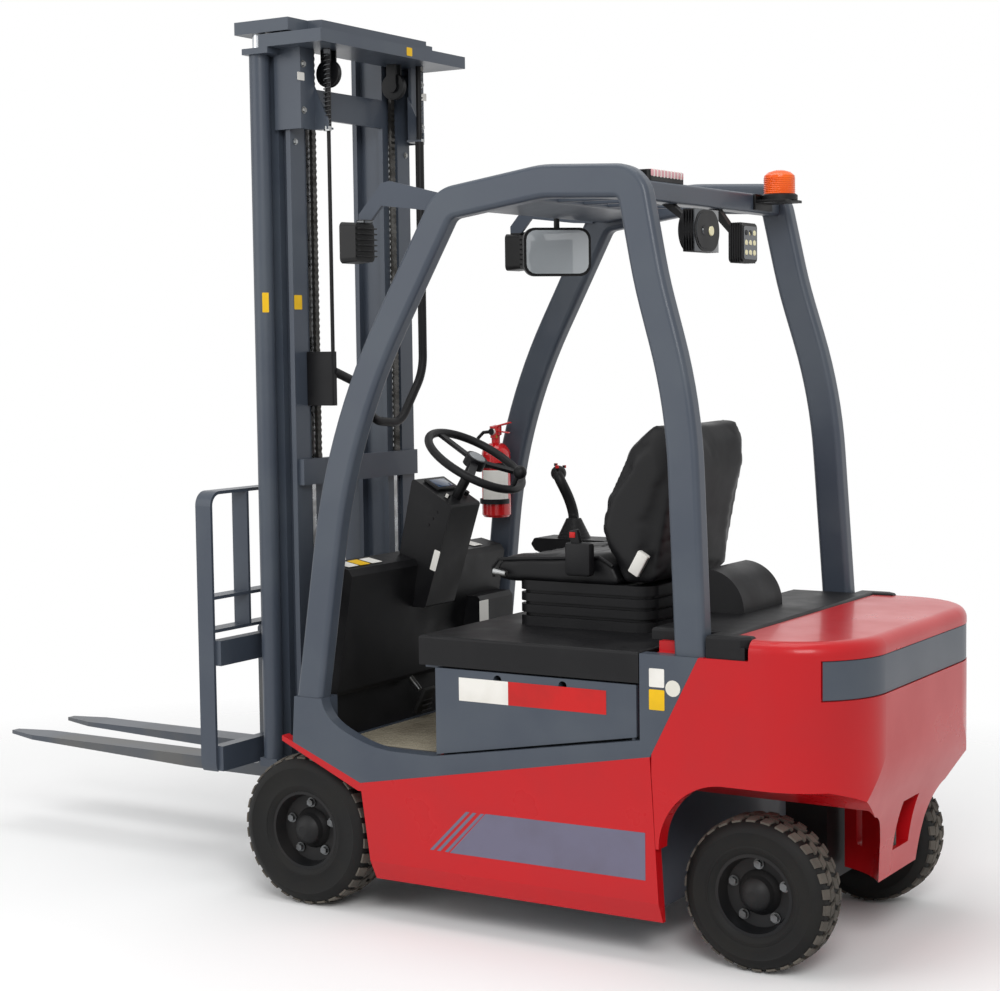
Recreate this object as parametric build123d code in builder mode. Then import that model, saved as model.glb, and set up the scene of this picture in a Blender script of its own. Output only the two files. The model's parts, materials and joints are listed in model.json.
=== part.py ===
from build123d import *
import os
from math import atan2, cos, degrees, radians, sin, sqrt, tan

# Four-wheel electric counterbalance forklift with a two-stage mast.
# Millimetres, +X forward towards the fork tips, +Y to the left, +Z up.
# The origin lies on the floor under the middle of the whole truck.

# Main sizes, measured from the front axle unless the name says otherwise
wheelbase = 1445.0
rear_overhang = 310.0
fork_face = 420.0
fork_length = 1150.0
body_half_width = 540.0
axle_x = (wheelbase + rear_overhang - fork_face - fork_length) / 2
rear_axle = -wheelbase
running_gap = 0.3
part_gap = 5.0
pin_gap = 0.06

# Front wheels, 18 x 7-8 industrial tyres
front_tyre_radius = 228.5
front_tyre_width = 172.0
front_wheel_y = body_half_width - 16 - front_tyre_width / 2
front_rim_radius = 118.0

# Rear wheels, 16 x 6-8 industrial tyres
rear_tyre_radius = 210.0
rear_tyre_width = 142.0
rear_wheel_y = body_half_width - 74 - rear_tyre_width / 2
rear_rim_radius = 112.0
bead_inset = 14.0
tread_inset = 26.0
rim_wall = 9.0
hub_radius = 46.0
stub_radius = 26.0
stub_setback = 24.0

# Front drive axle
chassis_side_y = front_wheel_y - front_tyre_width / 2 - 8
axle_tube_radius = 60.0
axle_half_length = chassis_side_y + 1
gearbox_radius = 118.0
gearbox_half_width = 92.0

# Mast rails
outer_rail_rear = 147.0
rail_depth = 120.0
outer_rail_outer_y = front_wheel_y - front_tyre_width / 2 - 32
outer_rail_width = 70.0
rail_flange = 17.0
rail_web = 14.0
rail_side_gap = 5.0
rail_recess = 29.0
inner_rail_shift = 10.0
inner_rail_width = 64.0
outer_rail_bottom = 95.0
inner_rail_bottom = 105.0

# Mast pivot, carried by lugs on the drive axle
mast_pivot_x = 100.0
mast_pivot_z = front_tyre_radius
mast_pin_radius = 20.0
mast_lug_radius = 34.0
mast_lug_thickness = 20.0
mast_eye_radius = 40.0
mast_eye_thickness = 26.0
mast_eye_y = outer_rail_outer_y - outer_rail_width / 2
lug_clearance = 2.0

# Rear steer axle and knuckles
kingpin_y = rear_wheel_y - 110
kingpin_radius = 15.0
steer_beam_half_depth = 28.0
steer_beam_half_height = 42.0
steer_beam_middle = 62.0
knuckle_half_height = 68.0
knuckle_radius = 27.0

# Chassis: floor, battery bay and side plates
plate = 12.0
sill_thickness = 40.0
floor_top = 492.0
bay_bottom = 125.0
bay_front = -500.0
bay_rear = rear_axle + 307
bay_half_width = body_half_width - sill_thickness
chassis_nose = 55.0
nose_bottom = 165.0

# Battery block
battery_height = 600.0
battery_gap = 8.0
battery_side_gap = 14.0

# Side sill and skirt lines, seen from the left
skirt_thickness = 34.0
skirt_bottom = 121.0
skirt_fold = 20.0
skirt_fold_height = 55.0
skirt_front_low = -271.0
skirt_front_high = -231.0
skirt_front_z = 403.0
seam_low = rear_axle + 232
seam_high = rear_axle + 259
seam_z = 573.0
seam_gap = 1.0
sill_step_x = -490.0
sill_step_z = 507.0
sill_rear_x = rear_axle + 289
sill_rear_z = 615.0
shoulder_rear = rear_axle + 115
shoulder_z = 850.0
sill_foot_rear = -95.0
sill_foot_front = 5.0
sill_foot_z = 640.0
lip_front_x = 54.0
lip_front_z = 518.0
lip_thickness = 24.0

# Seat hood
hood_bottom = 768.0
hood_ledge = 12.0
hood_top = 852.0
hood_front = -442.0
hood_rear = rear_axle + 295
hood_wall = 14.0
hood_half_width = body_half_width - 6
hood_hinge_radius = 8.0
hood_hinge_x = rear_axle + 278
hood_hinge_z = hood_top - 6
hood_hinge_y = 300.0
hood_ear_radius = 14.0
hood_ear_width = 30.0
bay_top = hood_bottom - 10

# Battery doors
door_top = hood_bottom - 6
door_thickness = 26.0
door_gap = 6.0
door_hinge_radius = 7.0
door_hole_radius = 13.0

# Counterweight
weight_front = seam_high - 4.0
weight_rear = -(wheelbase + rear_overhang)
weight_top = 905.0
weight_bottom = 203.0
weight_corner = 245.0
weight_top_fillet = 34.0
tail_slant_top = 590.0
arch_top = 515.0
arch_radius = 190.0
tail_half_width = 165.0
tail_neck_z = 299.0
leg_thickness = 50.0
axle_seat_z = 440.0
axle_seat_half_width = 104.0
band_bottom = 752.0
band_height = 106.0
band_depth = 7.0
band_reach = 100.0
cover_seat_z = 880.0
cover_front = hood_rear - 6
cover_rear = rear_axle + 35
cover_top = 912.0
lobe_front = rear_axle + 94
lobe_rear = rear_axle - 29
lobe_inner_y = body_half_width - 51
lobe_bottom = 851.0
tow_pocket_width = 120.0
tow_pocket_height = 140.0
tow_pocket_depth = 118.0
tow_pocket_z = 345.0
tow_pin_radius = 12.5
tow_pin_setback = 98.0

# Overhead guard
guard_foot_outer_y = body_half_width - 10
guard_lean = 2.06
guard_thickness = 58.0
guard_width = 92.0
guard_round = 16.0
guard_front_x = -610.0
guard_front_depth = 180.0
guard_front_height = 40.0
guard_rear_x = rear_axle + 341
guard_rear_size = 56.0
guard_rear_z = 2082.0
roof_bar_z = 2091.0
roof_bar_width = 24.0
roof_bar_height = 16.0

# Lift cylinders
lift_x = 235.0
lift_barrel_radius = 31.0
lift_y = outer_rail_outer_y + lift_barrel_radius + 1
lift_rod_radius = 20.0
lift_barrel_bottom = 400.0
lift_barrel_top = 2560.0
lift_rod_bottom = 520.0
lift_foot_reach = 28.0

# Beams across the mast tops
lower_beam_rear = -30.0
lower_beam_front = 205.0
lower_beam_half = lift_y + 41
beam_thickness = 38.0
lower_beam_top = 2616.0
beam_gap = 6.0
upper_beam_rear = 48.0
upper_end_rear = 95.0
upper_end_front = 300.0
upper_end_inner_y = outer_rail_outer_y - 68
upper_beam_half = lift_y + 36

# Cross members of the mast, each a height above the floor and a depth
cross_low_z = 390.0
cross_low_height = 90.0
cross_high_height = 80.0
tie_low_z = 150.0
tie_low_height = 70.0
tie_high_height = 90.0
tie_high_z = lower_beam_top - 236
tie_thickness = 14.0

# Carriage, forks and load backrest
fork_bottom = 290.0
fork_width = 100.0
fork_thickness = 40.0
fork_y = 140.0
carriage_low = 76.0
carriage_height = 407.0
bar_height = 78.0
bar_thickness = 40.0
carriage_plate_y = 158.0
carriage_plate_thickness = 20.0
carriage_roller_radius = rail_depth / 2 - rail_flange - running_gap
backrest_top = 1235.0
backrest_depth = 60.0
backrest_bar = 10.0
backrest_corner = 45.0
backrest_half = 482.0
backrest_middle = 905.0
backrest_rail = 802.0
bar_half = backrest_half - backrest_bar - running_gap

# Tilt cylinders
tilt_y = 200.0
tilt_mast_x = 92.0
tilt_mast_z = 425.0
tilt_root_x = -430.0
tilt_root_z = 390.0
tilt_barrel_radius = 32.0
tilt_barrel_length = 300.0
tilt_barrel_start = 34.0
tilt_rod_radius = 15.0
tilt_pin_radius = 12.0
tilt_eye_radius = 26.0
tilt_eye_width = 28.0
tilt_eye_clearance = 4.0

# Lift chains and hoses behind the mast
chain_y = outer_rail_outer_y - 107
chain_bottom = 1330.0
chain_pitch = 19.05
chain_depth = 14.0
chain_width = 20.0
hose_x = 56.0
hose_y = outer_rail_outer_y - 70
hose_radius = 6.0
sheath_radius = 9.0
loop_hose_radius = 14.0
sheave_radius = 42.0
sheave_z = lower_beam_top - 108

# Driver's place
wheel_hub_x = -290.0
wheel_hub_z = 1300.0
wheel_radius = 160.0
wheel_rim_radius = 13.0
wheel_lean = 32.0
column_half_width = 82.0
dash_front = -28.0
dash_wall = 17.0
dash_half_width = 430.0
seat_height = 985.0
seat_x = rear_axle + 645
seat_half_width = 240.0
extinguisher_radius = 48.0
extinguisher_bottom = 1105.0

os.makedirs("parts", exist_ok=True)


def side(y):
    # Sketch plane in side view: local x forward, local y up, extrudes towards -Y
    return Plane(origin=(axle_x, y, 0), x_dir=(1, 0, 0), z_dir=(0, -1, 0))


def plan(z):
    # Sketch plane in plan view, extrudes upwards
    return Plane(origin=(axle_x, 0, z), x_dir=(1, 0, 0), z_dir=(0, 0, 1))


def front(x):
    # Sketch plane across the truck: local x to the left, local y up, extrudes forward
    return Plane(origin=(axle_x + x, 0, 0), x_dir=(0, 1, 0), z_dir=(1, 0, 0))


def save(piece, name):
    piece.part.label = name
    export_step(piece.part, "parts/" + name + ".step")


# Wheels
def tyre(centre_x, centre_y, radius, width, bore):
    half = width / 2
    wall_top = radius - 30
    with BuildPart() as body:
        with BuildSketch(Plane(origin=(centre_x, centre_y, radius), x_dir=(0, 1, 0), z_dir=(1, 0, 0))):
            with BuildLine():
                Line((-half + bead_inset, bore), (half - bead_inset, bore))
                Line((half - bead_inset, bore), (half - 5, bore + 12))
                ThreePointArc((half - 5, bore + 12), (half, (bore + wall_top) / 2), (half - 3, wall_top))
                Line((half - 3, wall_top), (half - 17, radius - 6))
                Line((half - 17, radius - 6), (half - tread_inset, radius - 1))
                ThreePointArc((half - tread_inset, radius - 1), (0, radius), (-half + tread_inset, radius - 1))
                Line((-half + tread_inset, radius - 1), (-half + 17, radius - 6))
                Line((-half + 17, radius - 6), (-half + 3, wall_top))
                ThreePointArc((-half + 3, wall_top), (-half, (bore + wall_top) / 2), (-half + 5, bore + 12))
                Line((-half + 5, bore + 12), (-half + bead_inset, bore))
            make_face()
        revolve(axis=Axis((centre_x, centre_y, radius), (0, 1, 0)))
    return body


def rim(centre_x, centre_y, radius, width, bore, outward):
    # outward is 1 for a left wheel and -1 for a right wheel
    half = width / 2 - bead_inset
    seat = bore - running_gap
    hub_in = -half + 24
    inner = stub_radius + running_gap
    with BuildPart() as body:
        with BuildSketch(Plane(origin=(centre_x, centre_y, radius), x_dir=(0, outward, 0), z_dir=(outward, 0, 0))):
            with BuildLine():
                Polyline((-half, seat), (half, seat), (half, seat - rim_wall), (half - 14, seat - rim_wall - 3))
                Polyline((half - 14, seat - rim_wall - 3), (half - 40, seat - rim_wall - 9), (half - 44, hub_radius + 16))
                Polyline((half - 44, hub_radius + 16), (half - 26, hub_radius + 4), (half - 10, hub_radius - 2))
                ThreePointArc((half - 10, hub_radius - 2), (half + 3, hub_radius * 0.62), (half + 9, 14))
                Polyline((half + 9, 14), (half + 9, 0), (half - 22, 0), (half - 22, inner), (hub_in, inner))
                Polyline((hub_in, inner), (hub_in, hub_radius), (half - 52, hub_radius + 4))
                Polyline((half - 52, hub_radius + 4), (half - 54, seat - rim_wall - 12), (-half, seat - rim_wall))
                Line((-half, seat - rim_wall), (-half, seat))
            make_face()
        revolve(axis=Axis((centre_x, centre_y, radius), (0, 1, 0)))
    return body


front_left_tyre = tyre(axle_x, front_wheel_y, front_tyre_radius, front_tyre_width, front_rim_radius)
save(front_left_tyre, "front_left_tyre")
front_right_tyre = tyre(axle_x, -front_wheel_y, front_tyre_radius, front_tyre_width, front_rim_radius)
save(front_right_tyre, "front_right_tyre")
front_left_rim = rim(axle_x, front_wheel_y, front_tyre_radius, front_tyre_width, front_rim_radius, 1)
save(front_left_rim, "front_left_rim")
front_right_rim = rim(axle_x, -front_wheel_y, front_tyre_radius, front_tyre_width, front_rim_radius, -1)
save(front_right_rim, "front_right_rim")

rear_x = axle_x + rear_axle
rear_left_tyre = tyre(rear_x, rear_wheel_y, rear_tyre_radius, rear_tyre_width, rear_rim_radius)
save(rear_left_tyre, "rear_left_tyre")
rear_right_tyre = tyre(rear_x, -rear_wheel_y, rear_tyre_radius, rear_tyre_width, rear_rim_radius)
save(rear_right_tyre, "rear_right_tyre")
rear_left_rim = rim(rear_x, rear_wheel_y, rear_tyre_radius, rear_tyre_width, rear_rim_radius, 1)
save(rear_left_rim, "rear_left_rim")
rear_right_rim = rim(rear_x, -rear_wheel_y, rear_tyre_radius, rear_tyre_width, rear_rim_radius, -1)
save(rear_right_rim, "rear_right_rim")

# Drive axle: tube, gearbox, wheel stubs and the lugs that carry the mast pins
stub_end = front_wheel_y + front_tyre_width / 2 - bead_inset - stub_setback
lug_outer_y = mast_eye_y + mast_eye_thickness / 2 + lug_clearance + mast_lug_thickness
lug_inner_y = mast_eye_y - mast_eye_thickness / 2 - lug_clearance
with BuildPart() as drive_axle:
    with BuildSketch(Plane(origin=(axle_x, 0, front_tyre_radius), x_dir=(0, 1, 0), z_dir=(1, 0, 0))):
        with BuildLine():
            shoulder = gearbox_half_width - 30
            Polyline((0, 0), (0, gearbox_radius), (shoulder, gearbox_radius))
            Line((shoulder, gearbox_radius), (gearbox_half_width, axle_tube_radius))
            Line((gearbox_half_width, axle_tube_radius), (axle_half_length, axle_tube_radius))
            Polyline((axle_half_length, axle_tube_radius), (axle_half_length, stub_radius), (stub_end, stub_radius))
            Polyline((stub_end, stub_radius), (stub_end, 0), (0, 0))
        make_face()
    revolve(axis=Axis((axle_x, 0, front_tyre_radius), (0, 1, 0)))
    mirror(about=Plane.XZ)
    for lug_y in (lug_outer_y, lug_inner_y):
        with BuildSketch(side(lug_y)):
            with BuildLine():
                Polyline(
                    (0, front_tyre_radius - 40),
                    (mast_pivot_x, mast_pivot_z - mast_lug_radius),
                    (mast_pivot_x, mast_pivot_z + mast_lug_radius),
                    (0, front_tyre_radius + 40),
                    close=True,
                )
            make_face()
            with Locations((mast_pivot_x, mast_pivot_z)):
                Circle(mast_lug_radius)
        extrude(amount=mast_lug_thickness)
    with BuildSketch(side(lug_outer_y)):
        with Locations((mast_pivot_x, mast_pivot_z)):
            Circle(mast_pin_radius)
    extrude(amount=lug_outer_y - lug_inner_y + mast_lug_thickness)
    mirror(about=Plane.XZ)
save(drive_axle, "drive_axle")

# Rear steer axle beam with forked ends round the knuckles
with BuildPart() as steer_axle:
    with BuildSketch(Plane(origin=(rear_x, 0, rear_tyre_radius), x_dir=(1, 0, 0), z_dir=(0, 0, 1))):
        with BuildLine():
            depth = steer_beam_half_depth
            middle = steer_beam_middle
            taper = kingpin_y - 115
            Polyline(
                (-depth, kingpin_y), (-depth, taper), (-middle, taper - 80), (-middle, 80 - taper), (-depth, -taper),
                (-depth, -kingpin_y), (depth, -kingpin_y), (depth, -taper), (middle, 80 - taper), (middle, taper - 80),
                (depth, taper), (depth, kingpin_y), close=True,
            )
        make_face()
        with Locations((0, kingpin_y), (0, -kingpin_y)):
            Circle(steer_beam_half_depth)
    extrude(amount=steer_beam_half_height, both=True)
    with BuildSketch(Plane.XY.offset(rear_tyre_radius)):
        with Locations((rear_x, 0)):
            Rectangle(2 * steer_beam_middle, 2 * axle_seat_half_width - 8)
    extrude(amount=axle_seat_z - running_gap - rear_tyre_radius)
    with Locations((rear_x, kingpin_y, rear_tyre_radius), (rear_x, -kingpin_y, rear_tyre_radius)):
        Cylinder(kingpin_radius, 2 * knuckle_half_height)
save(steer_axle, "steer_axle")


def knuckle(outward):
    spindle_start = kingpin_y + 36
    spindle_end = rear_wheel_y + rear_tyre_width / 2 - bead_inset - stub_setback
    low = steer_beam_half_height + 1.5
    with BuildPart() as body:
        for level in (1, -1):
            with BuildSketch(Plane.XY.offset(rear_tyre_radius + level * low)):
                with Locations((rear_x, outward * kingpin_y)):
                    Circle(knuckle_radius)
                with Locations((rear_x, outward * (kingpin_y + 20))):
                    Rectangle(2 * knuckle_radius, 40)
                with Locations((rear_x, outward * kingpin_y)):
                    Circle(kingpin_radius + pin_gap, mode=Mode.SUBTRACT)
            extrude(amount=level * (knuckle_half_height - low))
        with Locations((rear_x, outward * (kingpin_y + 35), rear_tyre_radius)):
            Box(2 * knuckle_radius, 10, 2 * knuckle_half_height)
        with BuildSketch(Plane(origin=(rear_x, outward * spindle_start, rear_tyre_radius), z_dir=(0, outward, 0))):
            Circle(stub_radius)
        extrude(amount=spindle_end - spindle_start)
    return body


left_knuckle = knuckle(1)
save(left_knuckle, "left_knuckle")
right_knuckle = knuckle(-1)
save(right_knuckle, "right_knuckle")

# Chassis: floor, battery bay, side plates and the two sill bands
door_front_x = sill_step_x - door_gap
door_rear_x = sill_rear_x + door_gap + 8
door_pin_x = door_rear_x + door_thickness / 2
door_outer_y = body_half_width - 8
door_pin_y = door_outer_y - door_thickness / 2
door_pin_bottom = sill_rear_z - 10
door_pin_height = 60.0
lip_slope = (lip_front_z - skirt_front_z) / (lip_front_x - skirt_front_high)
lip_edge = skirt_front_z + lip_slope * (sill_foot_front + 9 - skirt_front_high)
with BuildPart() as chassis:
    with BuildSketch(plan(floor_top - plate)):
        with BuildLine():
            Polyline(
                (bay_front, bay_half_width), (sill_foot_front + 3, bay_half_width),
                (sill_foot_front + 3, -bay_half_width), (bay_front, -bay_half_width), close=True,
            )
        make_face()
    extrude(amount=plate)
    with BuildSketch(plan(bay_bottom)):
        with BuildLine():
            Polyline(
                (bay_rear - plate, bay_half_width), (bay_front + plate, bay_half_width),
                (bay_front + plate, -bay_half_width), (bay_rear - plate, -bay_half_width), close=True,
            )
        make_face()
    extrude(amount=plate)
    for wall_x in (bay_front, bay_rear - plate):
        with BuildSketch(front(wall_x)):
            with Locations((0, (bay_bottom + bay_top) / 2)):
                Rectangle(2 * bay_half_width, bay_top - bay_bottom)
        extrude(amount=plate)
    for plate_y in (chassis_side_y, -chassis_side_y + plate):
        with BuildSketch(side(plate_y)):
            with BuildLine():
                Polyline(
                    (bay_front + plate, bay_bottom), (bay_front + 350, nose_bottom), (chassis_nose, nose_bottom),
                    (chassis_nose, floor_top - plate), (bay_front + plate, floor_top - plate), close=True,
                )
            make_face()
            with Locations((0, front_tyre_radius)):
                Circle(axle_tube_radius + running_gap, mode=Mode.SUBTRACT)
        extrude(amount=plate)
    for sill_y in (body_half_width, -body_half_width + sill_thickness):
        with BuildSketch(side(sill_y)):
            with BuildLine():
                Polyline(
                    (sill_foot_rear, sill_foot_z), (sill_foot_front, sill_foot_z), (sill_foot_front + 9, lip_edge),
                    (skirt_front_high, skirt_front_z), (seam_high, seam_z), (shoulder_rear, shoulder_z),
                    (sill_rear_x, shoulder_z), (sill_rear_x, sill_rear_z), (sill_step_x, sill_step_z), (-360, sill_step_z),
                )
                Spline((-360, sill_step_z), (-190, 545), (sill_foot_rear, sill_foot_z), tangents=((1, 0), (0.2, 1)))
            make_face()
        extrude(amount=sill_thickness)
    # pads inside the sills, under the feet of the guard's front pillars
    for pad_y in (bay_half_width, -bay_half_width + sill_thickness):
        with BuildSketch(side(pad_y)):
            with BuildLine():
                Polyline(
                    (sill_foot_rear, sill_foot_z), (sill_foot_front, sill_foot_z), (sill_foot_front, floor_top - plate),
                    (sill_foot_rear, floor_top - plate), close=True,
                )
            make_face()
        extrude(amount=sill_thickness)
    # ledge that the seat hood rests on
    with BuildSketch(plan(hood_bottom - running_gap - hood_ledge)):
        with Locations(((bay_front + hood_front) / 2, 0)):
            Rectangle(hood_front - bay_front, 2 * bay_half_width)
    extrude(amount=hood_ledge)
    for hand in (1, -1):
        # hinge brackets of the seat hood, with their pins
        for lug in (hood_ear_width / 2 + lug_clearance + 14, -hood_ear_width / 2 - lug_clearance):
            with BuildSketch(side(hand * hood_hinge_y + lug)):
                reach = hood_ear_radius - 2
                with Locations((hood_hinge_x, hood_hinge_z)):
                    Circle(reach)
                with BuildLine():
                    Polyline(
                        (bay_rear - plate, bay_top - 60), (bay_rear - plate, bay_top), (hood_hinge_x + reach, hood_hinge_z),
                        (hood_hinge_x - reach, hood_hinge_z), (hood_hinge_x - reach, bay_top - 20), close=True,
                    )
                make_face()
            extrude(amount=14)
        with BuildSketch(side(hand * hood_hinge_y + hood_ear_width / 2 + 3)):
            with Locations((hood_hinge_x, hood_hinge_z)):
                Circle(hood_hinge_radius)
        extrude(amount=hood_ear_width + 6)
        # pins of the battery doors
        with BuildSketch(plan(door_pin_bottom)):
            with Locations((door_pin_x, hand * door_pin_y)):
                Circle(door_hinge_radius)
        extrude(amount=door_pin_height)
save(chassis, "chassis")


# Red side skirts with the lip over the front wheel and the inward fold along the bottom
def skirt(outer_y, inward):
    with BuildPart() as body:
        with BuildSketch(side(outer_y)):
            with BuildLine():
                Polyline(
                    (skirt_front_high, skirt_front_z - running_gap), (skirt_front_low, skirt_bottom),
                    (seam_low + seam_gap, skirt_bottom), (seam_high + seam_gap, seam_z - running_gap), close=True,
                )
            make_face()
        extrude(amount=inward * skirt_thickness)
        with BuildSketch(side(outer_y)):
            with BuildLine():
                lip_low = skirt_front_z - lip_thickness
                Polyline(
                    (lip_front_x, lip_front_z), (skirt_front_high, skirt_front_z - running_gap),
                    (skirt_front_high - 6, lip_low), (skirt_front_high + 8, lip_low),
                    (lip_front_x, lip_front_z - lip_thickness + 8), close=True,
                )
            make_face()
        extrude(amount=inward * skirt_thickness)
        with BuildSketch(front(seam_low - 50)):
            with BuildLine():
                Polyline(
                    (outer_y, skirt_bottom + skirt_fold_height), (outer_y - inward * skirt_fold, skirt_bottom - 1),
                    (outer_y + inward * 5, skirt_bottom - 1), (outer_y + inward * 5, skirt_bottom + skirt_fold_height),
                    close=True,
                )
            make_face()
        extrude(amount=skirt_front_high - seam_low + 100, mode=Mode.SUBTRACT)
    return body


left_skirt = skirt(body_half_width, 1)
save(left_skirt, "left_skirt")
right_skirt = skirt(-body_half_width, -1)
save(right_skirt, "right_skirt")

# Battery block
with BuildPart() as battery:
    with BuildSketch(plan(bay_bottom + plate)):
        with Locations(((bay_front + bay_rear) / 2, 0)):
            Rectangle(bay_front - bay_rear - 2 * battery_gap, 2 * (bay_half_width - battery_side_gap))
    extrude(amount=battery_height)
save(battery, "battery")


# Battery doors, hinged on an upright pin at the rear edge
def door(outer_y, inward):
    with BuildPart() as body:
        with BuildSketch(side(outer_y)):
            with BuildLine():
                Polyline(
                    (door_front_x, door_top), (door_rear_x, door_top),
                    (door_rear_x, sill_rear_z + door_gap), (door_front_x, sill_step_z + door_gap), close=True,
                )
            make_face()
            with Locations(
                (door_front_x - 208, door_top - door_hole_radius - 7),
                (door_front_x - 418, door_top - door_hole_radius - 7),
            ):
                Circle(door_hole_radius, mode=Mode.SUBTRACT)
        extrude(amount=inward * door_thickness)
        with BuildSketch(plan(door_pin_bottom - 10)):
            with Locations((door_pin_x, outer_y - inward * door_thickness / 2)):
                Circle(door_hinge_radius + pin_gap)
        extrude(amount=door_pin_height + 14, mode=Mode.SUBTRACT)
    return body


left_door = door(door_outer_y, 1)
save(left_door, "left_battery_door")
right_door = door(-door_outer_y, -1)
save(right_door, "right_battery_door")

# Seat hood over the battery
with BuildPart() as hood:
    with BuildSketch(plan(hood_bottom)):
        with Locations(((hood_front + hood_rear) / 2, 0)):
            Rectangle(hood_front - hood_rear, 2 * hood_half_width)
    extrude(amount=hood_top - hood_bottom)
    fillet(hood.edges().group_by(Axis.Z)[-1], 8)
    with BuildSketch(plan(hood_bottom)):
        with Locations(((hood_front + hood_rear) / 2, 0)):
            Rectangle(hood_front - hood_rear - 2 * hood_wall, 2 * (hood_half_width - hood_wall))
    extrude(amount=hood_top - hood_bottom - hood_wall, mode=Mode.SUBTRACT)
    for hand in (1, -1):
        with BuildSketch(side(hand * hood_hinge_y + hood_ear_width / 2)):
            with Locations((hood_hinge_x, hood_hinge_z)):
                Circle(hood_ear_radius)
            with Locations(((hood_hinge_x + hood_rear + 1) / 2, hood_hinge_z - 8)):
                Rectangle(hood_rear + 1 - hood_hinge_x, hood_ear_radius)
            with Locations((hood_hinge_x, hood_hinge_z)):
                Circle(hood_hinge_radius + pin_gap, mode=Mode.SUBTRACT)
        extrude(amount=hood_ear_width)
save(hood, "seat_hood")


# Counterweight: rounded block with open wheel arches, a slanted tail and a tow pocket
def weight_outline(inset, inner_x):
    # plan outline, drawn inside the body's outer face by the inset
    corner = weight_corner - inset
    rear = weight_rear + inset
    half = body_half_width - inset
    turn = corner * (1 - cos(radians(45)))
    with BuildSketch(mode=Mode.PRIVATE) as outline:
        with BuildLine():
            Line((inner_x, half), (rear + corner, half))
            ThreePointArc((rear + corner, half), (rear + turn, half - turn), (rear, half - corner))
            Line((rear, half - corner), (rear, -half + corner))
            ThreePointArc((rear, -half + corner), (rear + turn, -half + turn), (rear + corner, -half))
            Polyline((rear + corner, -half), (inner_x, -half), (inner_x, half))
        make_face()
    return outline.sketch_local


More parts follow.
